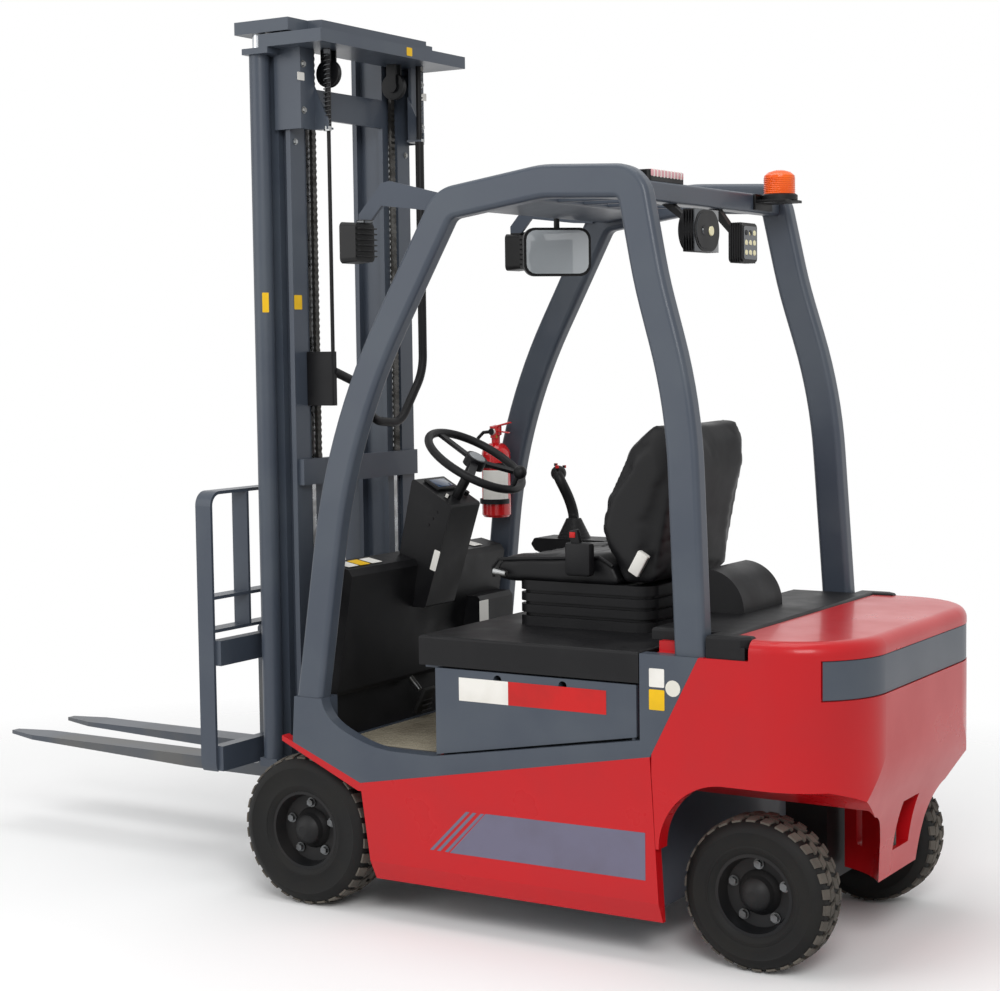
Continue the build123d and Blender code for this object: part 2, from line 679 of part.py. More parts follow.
steer_reach = sqrt((rear_wheel_y - kingpin_y + rear_tyre_width / 2 - tread_inset) ** 2 + rear_tyre_radius ** 2)
steer_clearance = 9.0
tail_low_x = weight_rear + 81
guard_foot_front = rear_axle + 197
guard_foot_rear = rear_axle + 93
with BuildPart() as counterweight:
    with BuildSketch(plan(weight_bottom)):
        add(weight_outline(0, weight_front))
    extrude(amount=weight_top - weight_bottom)
    rim_edges = counterweight.edges().group_by(Axis.Z)[-1]
    fillet(rim_edges.sort_by(Axis.X)[:-1], weight_top_fillet)
    # slanted tail under the upright rear face
    with BuildSketch(side(body_half_width + 10)):
        with BuildLine():
            Spline(
                (weight_rear, tail_slant_top), (weight_rear + 52, 379), (tail_low_x, weight_bottom),
                tangents=((0, -1), (0.1, -1)),
            )
            Polyline(
                (tail_low_x, weight_bottom), (tail_low_x, weight_bottom - 10), (weight_rear - 10, weight_bottom - 10),
                (weight_rear - 10, tail_slant_top), (weight_rear, tail_slant_top),
            )
        make_face()
    extrude(amount=2 * body_half_width + 20, mode=Mode.SUBTRACT)
    # wheel arches, open at the sides and round the rear corners
    with BuildSketch(front(weight_rear - 20)):
        for hand in (1, -1):
            with BuildLine():
                Spline(
                    (hand * tail_half_width, tail_neck_z), (hand * (tail_half_width + 26), 353),
                    (hand * (tail_half_width + 159), 447), (hand * (body_half_width - 60), arch_top),
                    tangents=((0, 1), (hand, 0.3)),
                )
                Polyline(
                    (hand * (body_half_width - 60), arch_top), (hand * (body_half_width + 10), arch_top),
                    (hand * (body_half_width + 10), weight_bottom - 10), (hand * tail_half_width, weight_bottom - 10),
                    (hand * tail_half_width, tail_neck_z),
                )
            make_face()
    extrude(amount=weight_front - weight_rear + 40, mode=Mode.SUBTRACT)
    # room for the tyres at full lock
    with BuildSketch(plan(weight_bottom - 10)):
        with Locations((rear_axle, kingpin_y), (rear_axle, -kingpin_y)):
            Circle(steer_reach + steer_clearance)
    extrude(amount=axle_seat_z - weight_bottom + 10, mode=Mode.SUBTRACT)
    # room for the steer axle
    with BuildSketch(plan(weight_bottom - 10)):
        with BuildLine():
            Polyline(
                (weight_front + 10, body_half_width), (rear_axle + 60, body_half_width),
                (rear_axle + 60, axle_seat_half_width + 1), (rear_axle - 85, axle_seat_half_width + 1),
                (rear_axle - 85, -axle_seat_half_width - 1), (rear_axle + 60, -axle_seat_half_width - 1),
                (rear_axle + 60, -body_half_width), (weight_front + 10, -body_half_width), close=True,
            )
        make_face()
    extrude(amount=axle_seat_z - weight_bottom + 10, mode=Mode.SUBTRACT)
    # narrow leg between the seam and the front of each arch
    arch_front = rear_axle + 45
    leg_low_z = arch_top - arch_radius
    leg_seam_x = seam_low + (seam_high - seam_low) * (leg_low_z - skirt_bottom) / (seam_z - skirt_bottom)
    for leg_y in (body_half_width, -body_half_width + leg_thickness):
        with BuildSketch(side(leg_y)):
            with BuildLine():
                Polyline(
                    (arch_front, arch_top), (arch_front, arch_top + 30), (seam_high - 4, arch_top + 30),
                    (seam_high - 4, seam_z - 40), (leg_seam_x, leg_low_z), (arch_front + arch_radius, leg_low_z),
                )
                ThreePointArc(
                    (arch_front + arch_radius, leg_low_z),
                    (arch_front + arch_radius * cos(radians(45)), leg_low_z + arch_radius * sin(radians(45))),
                    (arch_front, arch_top),
                )
            make_face()
        extrude(amount=leg_thickness)
    # recessed band round the back
    with BuildSketch(plan(band_bottom)):
        add(weight_outline(-10, weight_front))
        add(weight_outline(band_depth, weight_front + 10), mode=Mode.SUBTRACT)
        with Locations((weight_rear - 200 + band_reach, 0)):
            Rectangle(400, 2 * body_half_width + 40, mode=Mode.INTERSECT)
    extrude(amount=band_height, mode=Mode.SUBTRACT)
    # tow pocket in the tail and the pin hole through it
    with BuildSketch(side(tow_pocket_width / 2)):
        with Locations((weight_rear + tow_pocket_depth / 2 + 45, tow_pocket_z)):
            RectangleRounded(tow_pocket_depth + 40, tow_pocket_height, 12)
    extrude(amount=tow_pocket_width, mode=Mode.SUBTRACT)
    with Locations((axle_x + weight_rear + tow_pin_setback, 0, tow_pocket_z)):
        Cylinder(tow_pin_radius + running_gap, tow_pocket_height + 160, mode=Mode.SUBTRACT)
    # seat of the rear cover, lower at its two lobes
    with BuildSketch(plan(cover_seat_z)):
        with Locations(((weight_front + 10 + cover_rear) / 2, 0)):
            Rectangle(weight_front + 10 - cover_rear, 2 * body_half_width + 20)
    extrude(amount=100, mode=Mode.SUBTRACT)
    for hand in (1, -1):
        with BuildSketch(plan(lobe_bottom - running_gap)):
            with Locations(((weight_front + 10 + lobe_rear) / 2, hand * (lobe_inner_y + 50))):
                Rectangle(weight_front + 10 - lobe_rear, 100)
        extrude(amount=100, mode=Mode.SUBTRACT)
        # shoulders for the grey rear plates
        with BuildSketch(side(hand * (body_half_width - sill_thickness / 2) + sill_thickness / 2 + 1)):
            with BuildLine():
                Polyline(
                    (weight_front + 10, seam_z), (seam_high - running_gap, seam_z), (shoulder_rear - running_gap, shoulder_z),
                    (shoulder_rear - running_gap, weight_top), (weight_front + 10, weight_top), close=True,
                )
            make_face()
        extrude(amount=sill_thickness + 2, mode=Mode.SUBTRACT)
        # pockets for the feet of the guard's rear pillars
        with BuildSketch(plan(shoulder_z)):
            with Locations(((guard_foot_front + guard_foot_rear) / 2, hand * (bay_half_width + 10))):
                Rectangle(guard_foot_front - guard_foot_rear, 100)
        extrude(amount=100, mode=Mode.SUBTRACT)
save(counterweight, "counterweight")

with BuildPart() as tow_pin:
    with Locations((axle_x + weight_rear + tow_pin_setback, 0, tow_pocket_z)):
        Cylinder(tow_pin_radius, tow_pocket_height + 110)
save(tow_pin, "tow_pin")


# Overhead guard: one bent side member a side, leaning inwards
lean = radians(guard_lean)
guard_base_y = guard_foot_outer_y + shoulder_z * tan(lean)


def guard_plane(hand, inset):
    # side view plane that leans with the guard, inset from its outer face
    spot = (axle_x, hand * (guard_base_y - inset / cos(lean)), 0)
    return Plane(origin=spot, x_dir=(1, 0, 0), z_dir=(0, -cos(lean), -hand * sin(lean)))


def guard_side(hand):
    middle = guard_plane(hand, guard_thickness / 2)
    with BuildPart() as body:
        with BuildLine(middle) as path:
            FilletPolyline(
                (-27, floor_top), (-150, 1435), (-508, 2073), (-833, 2120), (rear_axle + 338, 2107),
                (rear_axle + 282, 1840), (rear_axle + 184, 1512), (rear_axle + 145, shoulder_z - 40),
                radius=[1800, 75, 300, 60, 1500, 1500],
            )
        with BuildSketch(Plane(origin=path.line @ 0, x_dir=middle.z_dir, z_dir=path.line % 0)):
            RectangleRounded(guard_thickness, guard_width, guard_round)
        sweep()
        # feet cut level on the sill and on the shoulder behind the doors
        with BuildSketch(plan(floor_top - 100)):
            Rectangle(600, 3 * body_half_width)
        extrude(amount=sill_foot_z + running_gap - floor_top + 100, mode=Mode.SUBTRACT)
        with BuildSketch(plan(floor_top - 100)):
            with Locations((rear_axle, 0)):
                Rectangle(600, 3 * body_half_width)
        extrude(amount=shoulder_z + running_gap - floor_top + 100, mode=Mode.SUBTRACT)
    return body


guard_left = guard_side(1)
save(guard_left, "guard_left_side")
guard_right = guard_side(-1)
save(guard_right, "guard_right_side")

guard_tilt = degrees(atan2(2120 - 2073, 833 - 508))
guard_front_z = 2073 + (-508 - guard_front_x) * tan(radians(guard_tilt))
guard_front_end = guard_front_x - guard_front_depth / 2
with BuildPart() as guard_front:
    with BuildSketch(side(body_half_width)):
        with Locations((guard_front_x, guard_front_z)):
            RectangleRounded(guard_front_depth, guard_front_height, 10, rotation=-guard_tilt)
    extrude(amount=2 * body_half_width)
    for hand in (1, -1):
        split(bisect_by=guard_plane(hand, guard_thickness + running_gap / 3), keep=Keep.TOP if hand == 1 else Keep.BOTTOM)
save(guard_front, "guard_front_cross")

with BuildPart() as guard_rear:
    with BuildSketch(side(body_half_width)):
        with Locations((guard_rear_x, guard_rear_z)):
            RectangleRounded(guard_rear_size, guard_rear_size, 8)
    extrude(amount=2 * body_half_width)
    for hand in (1, -1):
        split(bisect_by=guard_plane(hand, guard_thickness + running_gap / 3), keep=Keep.TOP if hand == 1 else Keep.BOTTOM)
save(guard_rear, "guard_rear_cross")

roof_bar_start = guard_rear_x + guard_rear_size / 2 + running_gap
roof_bar_end = guard_front_end - 0.5 - running_gap
with BuildPart() as roof_bars:
    with BuildSketch(front(roof_bar_start)):
        with GridLocations(150, 1, 5, 1):
            with Locations((0, roof_bar_z)):
                RectangleRounded(roof_bar_width, roof_bar_height, 5)
    extrude(amount=roof_bar_end - roof_bar_start)
save(roof_bars, "guard_roof_bars")


# Mast rails as I sections
def rail(centre_y, width, rear, bottom, top):
    with BuildPart(mode=Mode.PRIVATE) as body:
        with BuildSketch(plan(bottom)):
            with Locations((rear + rail_depth / 2, centre_y)):
                Rectangle(rail_depth, rail_web)
            with Locations((rear + rail_flange / 2, centre_y), (rear + rail_depth - rail_flange / 2, centre_y)):
                Rectangle(rail_flange, width)
        extrude(amount=top - bottom)
    return body.part


outer_rail_y = outer_rail_outer_y - outer_rail_width / 2
inner_rail_outer_y = outer_rail_outer_y - outer_rail_width - rail_side_gap
inner_rail_y = inner_rail_outer_y - inner_rail_width / 2
inner_rail_rear = outer_rail_rear + inner_rail_shift
lower_beam_bottom = lower_beam_top - beam_thickness
upper_beam_bottom = lower_beam_top + beam_gap
filler_rear = outer_rail_rear + rail_flange + rail_recess
filler_front = outer_rail_rear + rail_depth - rail_flange + 1
bracket_rear = outer_rail_rear - 52
bracket_bottom = lower_beam_bottom - 243
bracket_plate = 12.0

with BuildPart() as outer_mast:
    for hand in (1, -1):
        add(rail(hand * outer_rail_y, outer_rail_width, outer_rail_rear, outer_rail_bottom, lower_beam_bottom))
        # solid outer side of each rail, in front of a narrow recess
        with BuildSketch(plan(outer_rail_bottom)):
            with Locations(((filler_rear + filler_front) / 2, hand * (outer_rail_outer_y - outer_rail_width / 4 - 1))):
                Rectangle(filler_front - filler_rear, outer_rail_width / 2 - 2)
        extrude(amount=lower_beam_bottom - outer_rail_bottom)
        # pivot eyes behind the rails
        with BuildSketch(side(hand * mast_eye_y + mast_eye_thickness / 2)):
            with Locations((mast_pivot_x, mast_pivot_z)):
                Circle(mast_eye_radius)
            with Locations(((mast_pivot_x + outer_rail_rear + 2) / 2, mast_pivot_z)):
                Rectangle(outer_rail_rear + 2 - mast_pivot_x, 2 * mast_eye_radius)
            with Locations((mast_pivot_x, mast_pivot_z)):
                Circle(mast_pin_radius + pin_gap, mode=Mode.SUBTRACT)
        extrude(amount=mast_eye_thickness)
        # lift cylinder feet
        foot_end = lift_y + lift_foot_reach
        with BuildSketch(plan(lift_barrel_bottom - 26)):
            with Locations((lift_x, hand * (outer_rail_outer_y - 15 + foot_end) / 2)):
                Rectangle(2 * lift_barrel_radius + 4, foot_end - outer_rail_outer_y + 15)
        extrude(amount=26)
        # clamp plates under the ends of the top beam, open round the rods
        with BuildSketch(plan(lift_barrel_top)):
            with Locations((lift_x - 15, hand * (outer_rail_outer_y + lower_beam_half) / 2)):
                Rectangle(2 * lift_barrel_radius + 36, lower_beam_half - outer_rail_outer_y)
            with Locations((lift_x, hand * lift_y)):
                Circle(lift_rod_radius + part_gap, mode=Mode.SUBTRACT)
        extrude(amount=lower_beam_bottom - lift_barrel_top)
        # hose brackets behind the tops of the rails
        with BuildSketch(plan(bracket_bottom)):
            with Locations((bracket_rear + 50, hand * (outer_rail_outer_y + bracket_plate / 2))):
                Rectangle(100, bracket_plate)
            with Locations((bracket_rear + bracket_plate / 2, hand * (outer_rail_outer_y - 23))):
                Rectangle(bracket_plate, 70)
        extrude(amount=lower_beam_bottom - bracket_bottom)
        with BuildSketch(side(hand * (outer_rail_outer_y - 61.5) + 3.5)):
            with BuildLine():
                Polyline(
                    (bracket_rear + bracket_plate, bracket_bottom + 150), (bracket_rear - 48, bracket_bottom + 28),
                    (bracket_rear - 48, bracket_bottom), (bracket_rear + bracket_plate, bracket_bottom), close=True,
                )
            make_face()
        extrude(amount=7)
        with BuildSketch(plan(bracket_bottom)):
            with Locations((bracket_rear - 23, hand * (hose_y - 3))):
                Rectangle(50, 27)
            with Locations((hose_x, hand * (hose_y - 4))):
                Circle(hose_radius + running_gap, mode=Mode.SUBTRACT)
        extrude(amount=6)
    # top beam, narrower between the inner rails
    with BuildSketch(plan(lower_beam_bottom)):
        with BuildLine():
            inner = inner_rail_outer_y + rail_side_gap
            Polyline(
                (lower_beam_rear, lower_beam_half), (lower_beam_front, lower_beam_half), (lower_beam_front, inner),
                (inner_rail_rear - part_gap, inner), (inner_rail_rear - part_gap, -inner), (lower_beam_front, -inner),
                (lower_beam_front, -lower_beam_half), (lower_beam_rear, -lower_beam_half), close=True,
            )
        make_face()
    extrude(amount=beam_thickness)
    # cross members behind the rails
    for low, tall in ((cross_low_z, cross_low_height), (chain_bottom - cross_high_height, cross_high_height)):
        with BuildSketch(plan(low)):
            with Locations((outer_rail_rear - 10, 0)):
                Rectangle(20, 2 * (outer_rail_outer_y - 10))
        extrude(amount=tall)
    # tilt clevis lugs
    for hand in (1, -1):
        for lug in (tilt_eye_width / 2 + lug_clearance + 14, -tilt_eye_width / 2 - lug_clearance):
            with BuildSketch(side(hand * tilt_y + lug)):
                with BuildLine():
                    Polyline(
                        (outer_rail_rear - 19, tilt_mast_z - 30), (outer_rail_rear - 19, tilt_mast_z + 30),
                        (tilt_mast_x, tilt_mast_z + 18), (tilt_mast_x, tilt_mast_z - 18), close=True,
                    )
                make_face()
                with Locations((tilt_mast_x, tilt_mast_z)):
                    Circle(18)
            extrude(amount=14)
        with BuildSketch(side(hand * tilt_y + tilt_eye_width / 2 + 3)):
            with Locations((tilt_mast_x, tilt_mast_z)):
                Circle(tilt_pin_radius)
        extrude(amount=tilt_eye_width + 6)
save(outer_mast, "outer_mast")


def lift_barrel(hand):
    with BuildPart() as body:
        with BuildSketch(plan(lift_barrel_bottom)):
            with Locations((lift_x, hand * lift_y)):
                Circle(lift_barrel_radius)
        extrude(amount=lift_barrel_top - lift_barrel_bottom)
        with BuildSketch(plan(lift_rod_bottom - 40)):
            with Locations((lift_x, hand * lift_y)):
                Circle(lift_rod_radius + running_gap)
        extrude(amount=lift_barrel_top - lift_rod_bottom + 60, mode=Mode.SUBTRACT)
    return body


left_lift_barrel = lift_barrel(1)
save(left_lift_barrel, "left_lift_barrel")
right_lift_barrel = lift_barrel(-1)
save(right_lift_barrel, "right_lift_barrel")


def lift_rod(hand):
    with BuildPart() as body:
        with BuildSketch(plan(lift_rod_bottom)):
            with Locations((lift_x, hand * lift_y)):
                Circle(lift_rod_radius)
        extrude(amount=upper_beam_bottom - lift_rod_bottom)
    return body


left_lift_rod = lift_rod(1)
save(left_lift_rod, "left_lift_rod")
right_lift_rod = lift_rod(-1)
save(right_lift_rod, "right_lift_rod")

with BuildPart() as inner_mast:
    for hand in (1, -1):
        add(rail(hand * inner_rail_y, inner_rail_width, inner_rail_rear, inner_rail_bottom, upper_beam_bottom))
    with BuildSketch(plan(upper_beam_bottom)):
        with BuildLine():
            notch = upper_end_inner_y + 38
            Polyline(
                (upper_end_rear, upper_beam_half), (upper_end_front, upper_beam_half),
                (upper_end_front, upper_end_inner_y), (inner_rail_rear + 60, upper_end_inner_y),
                (inner_rail_rear + 60, -upper_end_inner_y), (upper_end_front, -upper_end_inner_y),
                (upper_end_front, -upper_beam_half), (upper_end_rear, -upper_beam_half), (upper_end_rear, -notch),
                (upper_beam_rear, -notch + 8), (upper_beam_rear, notch - 8), (upper_end_rear, notch), close=True,
            )
        make_face()
    extrude(amount=beam_thickness)
    # ties between the inner rails
    for low, tall in ((tie_low_z, tie_low_height), (tie_high_z, tie_high_height)):
        with BuildSketch(plan(low)):
            with Locations((inner_rail_rear + tie_thickness / 2, 0)):
                Rectangle(tie_thickness, 2 * (inner_rail_outer_y - 8))
        extrude(amount=tall)
save(inner_mast, "inner_mast")

# Carriage: two cross bars, side plates with a cut-out, and rollers
carriage_bottom = fork_bottom + carriage_low
carriage_top = carriage_bottom + carriage_height
bar_front = fork_face - fork_thickness
bar_rear = bar_front - bar_thickness
roller_x = inner_rail_rear + rail_depth / 2
roller_y = inner_rail_y - rail_web / 2 - 4
roller_low_z = carriage_bottom + 30
roller_high_z = carriage_top + 10
with BuildPart() as carriage:
    for low in (carriage_bottom, carriage_top - bar_height):
        with BuildSketch(plan(low)):
            with Locations(((bar_front + bar_rear) / 2, 0)):
                Rectangle(bar_thickness, 2 * bar_half)
        extrude(amount=bar_height)
    for hand in (1, -1):
        with BuildSketch(side(hand * carriage_plate_y + carriage_plate_thickness / 2)):
            with BuildLine():
                Polyline(
                    (bar_rear + 1, carriage_bottom), (bar_rear + 1, carriage_top), (roller_x + 30, carriage_top + 60),
                    (roller_x - 36, carriage_top + 60), (roller_x - 36, carriage_bottom - 20),
                    (roller_x + 30, carriage_bottom - 20), close=True,
                )
            make_face()
            with Locations((bar_rear, (carriage_bottom + carriage_top) / 2)):
                SlotOverall(carriage_height - 2 * bar_height - 40, 80, rotation=90, mode=Mode.SUBTRACT)
        extrude(amount=carriage_plate_thickness)
        for roller_z in (roller_low_z, roller_high_z):
            with BuildSketch(side(hand * (roller_y - 9) + 9)):
                with Locations((roller_x, roller_z)):
                    Circle(carriage_roller_radius)
            extrude(amount=18)
            with BuildSketch(side(hand * (roller_y - 20))):
                with Locations((roller_x, roller_z)):
                    Circle(16)
            extrude(amount=roller_y - 22 - carriage_plate_y, both=True)
save(carriage, "carriage")


def fork(hand):
    top = carriage_top + 18
    blade = fork_bottom + fork_thickness
    back = bar_front + running_gap
    hook_back = bar_front - 24
    tip = fork_face + fork_length
    edge = fork_width / 2
    with BuildPart() as body:
        with BuildSketch(side(hand * fork_y + edge)):
            with BuildLine():
                Polyline(
                    (back, fork_bottom + 40), (back, carriage_top + running_gap), (hook_back, carriage_top + running_gap),
                    (hook_back, top - 4), (hook_back + 4, top), (fork_face - 10, top), (fork_face, top - 14),
                    (fork_face, blade + 20),
                )
                RadiusArc((fork_face, blade + 20), (fork_face + 20, blade), -20)
                Polyline((fork_face + 20, blade), (tip, blade), (tip, blade - 12), (fork_face + 300, fork_bottom))
                Line((fork_face + 300, fork_bottom), (back + 40, fork_bottom))
                RadiusArc((back + 40, fork_bottom), (back, fork_bottom + 40), 40)
            make_face()
        extrude(amount=fork_width)
        # pointed tip in plan
        with BuildSketch(plan(fork_bottom - 5)):
            for turn in (1, -1):
                with BuildLine():
                    Polyline(
                        (tip - 130, hand * fork_y + turn * edge), (tip + 5, hand * fork_y + turn * edge),
                        (tip + 5, hand * fork_y + turn * 16), (tip, hand * fork_y + turn * 16), close=True,
                    )
                make_face()
        extrude(amount=fork_thickness + 30, mode=Mode.SUBTRACT)
    return body


left_fork = fork(1)
save(left_fork, "left_fork")
right_fork = fork(-1)
save(right_fork, "right_fork")

# Load backrest: a bent flat bar with upright bars
backrest_rear = fork_face - backrest_depth
with BuildPart() as backrest:
    foot = carriage_bottom - 20
    upright = backrest_top - backrest_rail - backrest_bar / 2
    with BuildSketch(front(backrest_rear)):
        with Locations((0, (foot + backrest_top) / 2)):
            RectangleRounded(2 * backrest_half, backrest_top - foot, backrest_corner)
        with Locations((0, (foot + backrest_top) / 2 - backrest_bar - 60)):
            RectangleRounded(
                2 * (backrest_half - backrest_bar), backrest_top - foot + 120, backrest_corner - backrest_bar,
                mode=Mode.SUBTRACT,
            )
        with Locations((0, foot - 50)):
            Rectangle(2 * backrest_half + 2, 100, mode=Mode.SUBTRACT)
        with Locations((0, backrest_middle), (0, backrest_rail)):
            Rectangle(2 * backrest_half - 2, backrest_bar)
        with Locations((0, backrest_top - upright / 2)):
            with GridLocations(200, 1, 4, 1):
                Rectangle(backrest_bar, upright)
    extrude(amount=backrest_depth)
save(backrest, "load_backrest")

# Tilt cylinders, leaning with their own line from root pin to mast pin
tilt_run = ((tilt_mast_x - tilt_root_x) ** 2 + (tilt_mast_z - tilt_root_z) ** 2) ** 0.5
tilt_angle = degrees(atan2(tilt_mast_z - tilt_root_z, tilt_mast_x - tilt_root_x))


def tilt_plane(hand, along):
    # plane square to the cylinder's axis
    away = radians(tilt_angle)
    spot = (
        axle_x + tilt_root_x + along * cos(away),
        hand * tilt_y,
        tilt_root_z + along * sin(away),
    )
    return Plane(origin=spot, x_dir=(0, 1, 0), z_dir=(cos(away), 0, sin(away)))


def tilt_barrel(hand):
    with BuildPart() as body:
        with BuildSketch(tilt_plane(hand, tilt_barrel_start - 14)):
            Circle(tilt_barrel_radius)
        extrude(amount=tilt_barrel_length + 14)
        with BuildSketch(side(hand * tilt_y + tilt_eye_width / 2)):
            with Locations((tilt_root_x, tilt_root_z)):
                Circle(tilt_eye_radius)
        extrude(amount=tilt_eye_width)
        with BuildSketch(tilt_plane(hand, tilt_barrel_start + 24)):
            Circle(tilt_rod_radius + running_gap)
        extrude(amount=tilt_barrel_length, mode=Mode.SUBTRACT)
        with BuildSketch(side(hand * tilt_y + tilt_eye_width / 2)):
            with Locations((tilt_root_x, tilt_root_z)):
                Circle(tilt_pin_radius + pin_gap)
        extrude(amount=tilt_eye_width, mode=Mode.SUBTRACT)
    return body


def tilt_rod(hand):
    rod_start = tilt_barrel_start + 100
    with BuildPart() as body:
        with BuildSketch(tilt_plane(hand, rod_start)):
            Circle(tilt_rod_radius)
        extrude(amount=tilt_run - rod_start - tilt_pin_radius - 6)
        with BuildSketch(side(hand * tilt_y + tilt_eye_width / 2)):
            with Locations((tilt_mast_x, tilt_mast_z)):
                Circle(tilt_eye_radius)
                Circle(tilt_pin_radius + tilt_eye_clearance, mode=Mode.SUBTRACT)
        extrude(amount=tilt_eye_width)
    return body


left_tilt_barrel = tilt_barrel(1)
save(left_tilt_barrel, "left_tilt_barrel")
right_tilt_barrel = tilt_barrel(-1)
save(right_tilt_barrel, "right_tilt_barrel")
left_tilt_rod = tilt_rod(1)
save(left_tilt_rod, "left_tilt_rod")
right_tilt_rod = tilt_rod(-1)
save(right_tilt_rod, "right_tilt_rod")

# Root brackets of the tilt cylinders, on the front wall of the battery bay
root_lug = 12.0
with BuildPart() as tilt_roots:
    for hand in (1, -1):
        for lug in (tilt_eye_width / 2 + lug_clearance + root_lug, -tilt_eye_width / 2 - lug_clearance):
            with BuildSketch(side(hand * tilt_y + lug)):
                with BuildLine():
                    Polyline(
                        (bay_front + plate, tilt_root_z - 40), (tilt_root_x, tilt_root_z - 20),
                        (tilt_root_x, tilt_root_z + 20), (bay_front + plate, tilt_root_z + 40), close=True,
                    )
                make_face()
                with Locations((tilt_root_x, tilt_root_z)):
                    Circle(20)
            extrude(amount=root_lug)
        with BuildSketch(side(hand * tilt_y + tilt_eye_width / 2 + 3)):
            with Locations((tilt_root_x, tilt_root_z)):
                Circle(tilt_pin_radius)
        extrude(amount=tilt_eye_width + 6)
save(tilt_roots, "tilt_root_brackets")

# Leaf chains behind the inner rails, waisted between the pins of each link
chain_top = lower_beam_bottom - running_gap
chain_start = chain_bottom + running_gap
chain_x = inner_rail_rear - 14
links = int((chain_top - chain_start) / chain_pitch)
chain_foot = chain_top - links * chain_pitch
with BuildPart() as chains:
    for hand in (1, -1):
        with BuildSketch(side(hand * chain_y + chain_width / 2)):
            with BuildLine():
                edge = [(chain_x + chain_depth / 2, chain_start)]
                for link in range(links + 1):
                    level = chain_foot + link * chain_pitch
                    edge.append((chain_x + chain_depth / 2, level))
                    if link < links:
                        edge.append((chain_x + chain_depth / 2 - 3, level + chain_pitch / 2))
                mirrored = [(2 * chain_x - spot[0], spot[1]) for spot in reversed(edge)]
                Polyline(*edge, *mirrored, close=True)
            make_face()
        extrude(amount=chain_width)
save(chains, "lift_chains")

# Hoses behind the mast: one straight run and one that loops across to the same block
block_top = 1660.0
block_height = 166.0
block_depth = 100.0
left_hose_y = hose_y - 4
tab_top = bracket_bottom + 6 + running_gap
with BuildPart() as hoses:
    with BuildSketch(plan(block_top)):
        with Locations((hose_x, left_hose_y)):
            Circle(hose_radius)
    extrude(amount=tab_top - block_top)
    for hose_side in (left_hose_y, -left_hose_y):
        with BuildSketch(plan(tab_top)):
            with Locations((hose_x, hose_side)):
                Circle(sheath_radius)
        extrude(amount=lower_beam_bottom - running_gap - tab_top)
    with BuildSketch(plan(block_top - block_height)):
        with Locations((outer_rail_rear - running_gap - block_depth / 2, left_hose_y + 4)):
            RectangleRounded(block_depth, 26, 6)
    extrude(amount=block_height)
    with BuildLine(front(hose_x)) as loop:
        FilletPolyline(
            (-left_hose_y, bracket_bottom - running_gap), (-left_hose_y, 1590), (-110, 1425), (40, 1440), (120, 1560), (left_hose_y, 1600),
            radius=[150, 90, 90, 60],
        )
    with BuildSketch(Plane(origin=loop.line @ 0, z_dir=loop.line % 0)):
        Circle(loop_hose_radius)
    sweep(path=loop.line)
save(hoses, "mast_hoses")

# Hose sheaves under the top beam, each between two cheeks
with BuildPart() as sheaves:
    for sheave_x, sheave_y in ((76, chain_y), (100, 150 - outer_rail_outer_y)):
        for cheek in (17, -11):
            with BuildSketch(side(sheave_y + cheek)):
                with Locations((sheave_x, sheave_z)):
                    Circle(20)
                with Locations((sheave_x, (sheave_z + lower_beam_bottom - running_gap) / 2)):
                    Rectangle(36, lower_beam_bottom - running_gap - sheave_z)
            extrude(amount=6)
        with BuildSketch(Plane(origin=(axle_x + sheave_x, sheave_y, sheave_z), x_dir=(0, 1, 0), z_dir=(1, 0, 0))):
            with BuildLine():
                rim_low = sheave_radius - 7
                Polyline((-9, 0), (-9, sheave_radius), (-6, sheave_radius), (0, rim_low), (6, sheave_radius))
                Polyline((6, sheave_radius), (9, sheave_radius), (9, 0), (-9, 0))
            make_face()
        revolve(axis=Axis((axle_x + sheave_x, sheave_y, sheave_z), (0, 1, 0)))
        with BuildSketch(side(sheave_y + 17)):
            with Locations((sheave_x, sheave_z)):
                Circle(10)
        extrude(amount=34)
save(sheaves, "hose_sheaves")


# Dash across the cab, with a deeper box low on the right
dash_top = 1030.0
column_foot_z = 860.0


def column_outline():
    with BuildSketch(mode=Mode.PRIVATE) as outline:
        with BuildLine():
            Polyline(
                (dash_front - 91, 1265), (dash_front - 237, 1181), (dash_front - 132, column_foot_z),
                (dash_front - 32, column_foot_z), (dash_front - 32, dash_top - 30), close=True,
            )
        make_face()
    return outline.sketch_local


with BuildPart() as dash:
    with BuildSketch(side(dash_half_width)):
        with BuildLine():
            wall_back = dash_front - dash_wall
            Polyline(
                (dash_front, floor_top), (dash_front, dash_top - 15), (wall_back, dash_top), (dash_front - 94, dash_top - 18),
                (dash_front - 107, dash_top - 38), (dash_front - 47, 640), (dash_front - 38, 626), (wall_back, 626),
                (wall_back, floor_top), close=True,
            )
        make_face()
    extrude(amount=2 * dash_half_width)
    with BuildSketch(side(-column_half_width - 150)):
        with BuildLine():
            Polyline(
                (wall_back + 1, 727), (dash_front - 125, 735), (dash_front - 137, 750), (dash_front - 137, 845),
                (dash_front - 125, 860), (wall_back + 1, 860), close=True,
            )
        make_face()
    extrude(amount=dash_half_width - column_half_width - 150)
    # notch round the steering column
    with BuildSketch(side(column_half_width + running_gap)):
        add(column_outline())
        offset(amount=running_gap)
    extrude(amount=2 * (column_half_width + running_gap), mode=Mode.SUBTRACT)
save(dash, "dash_panel")

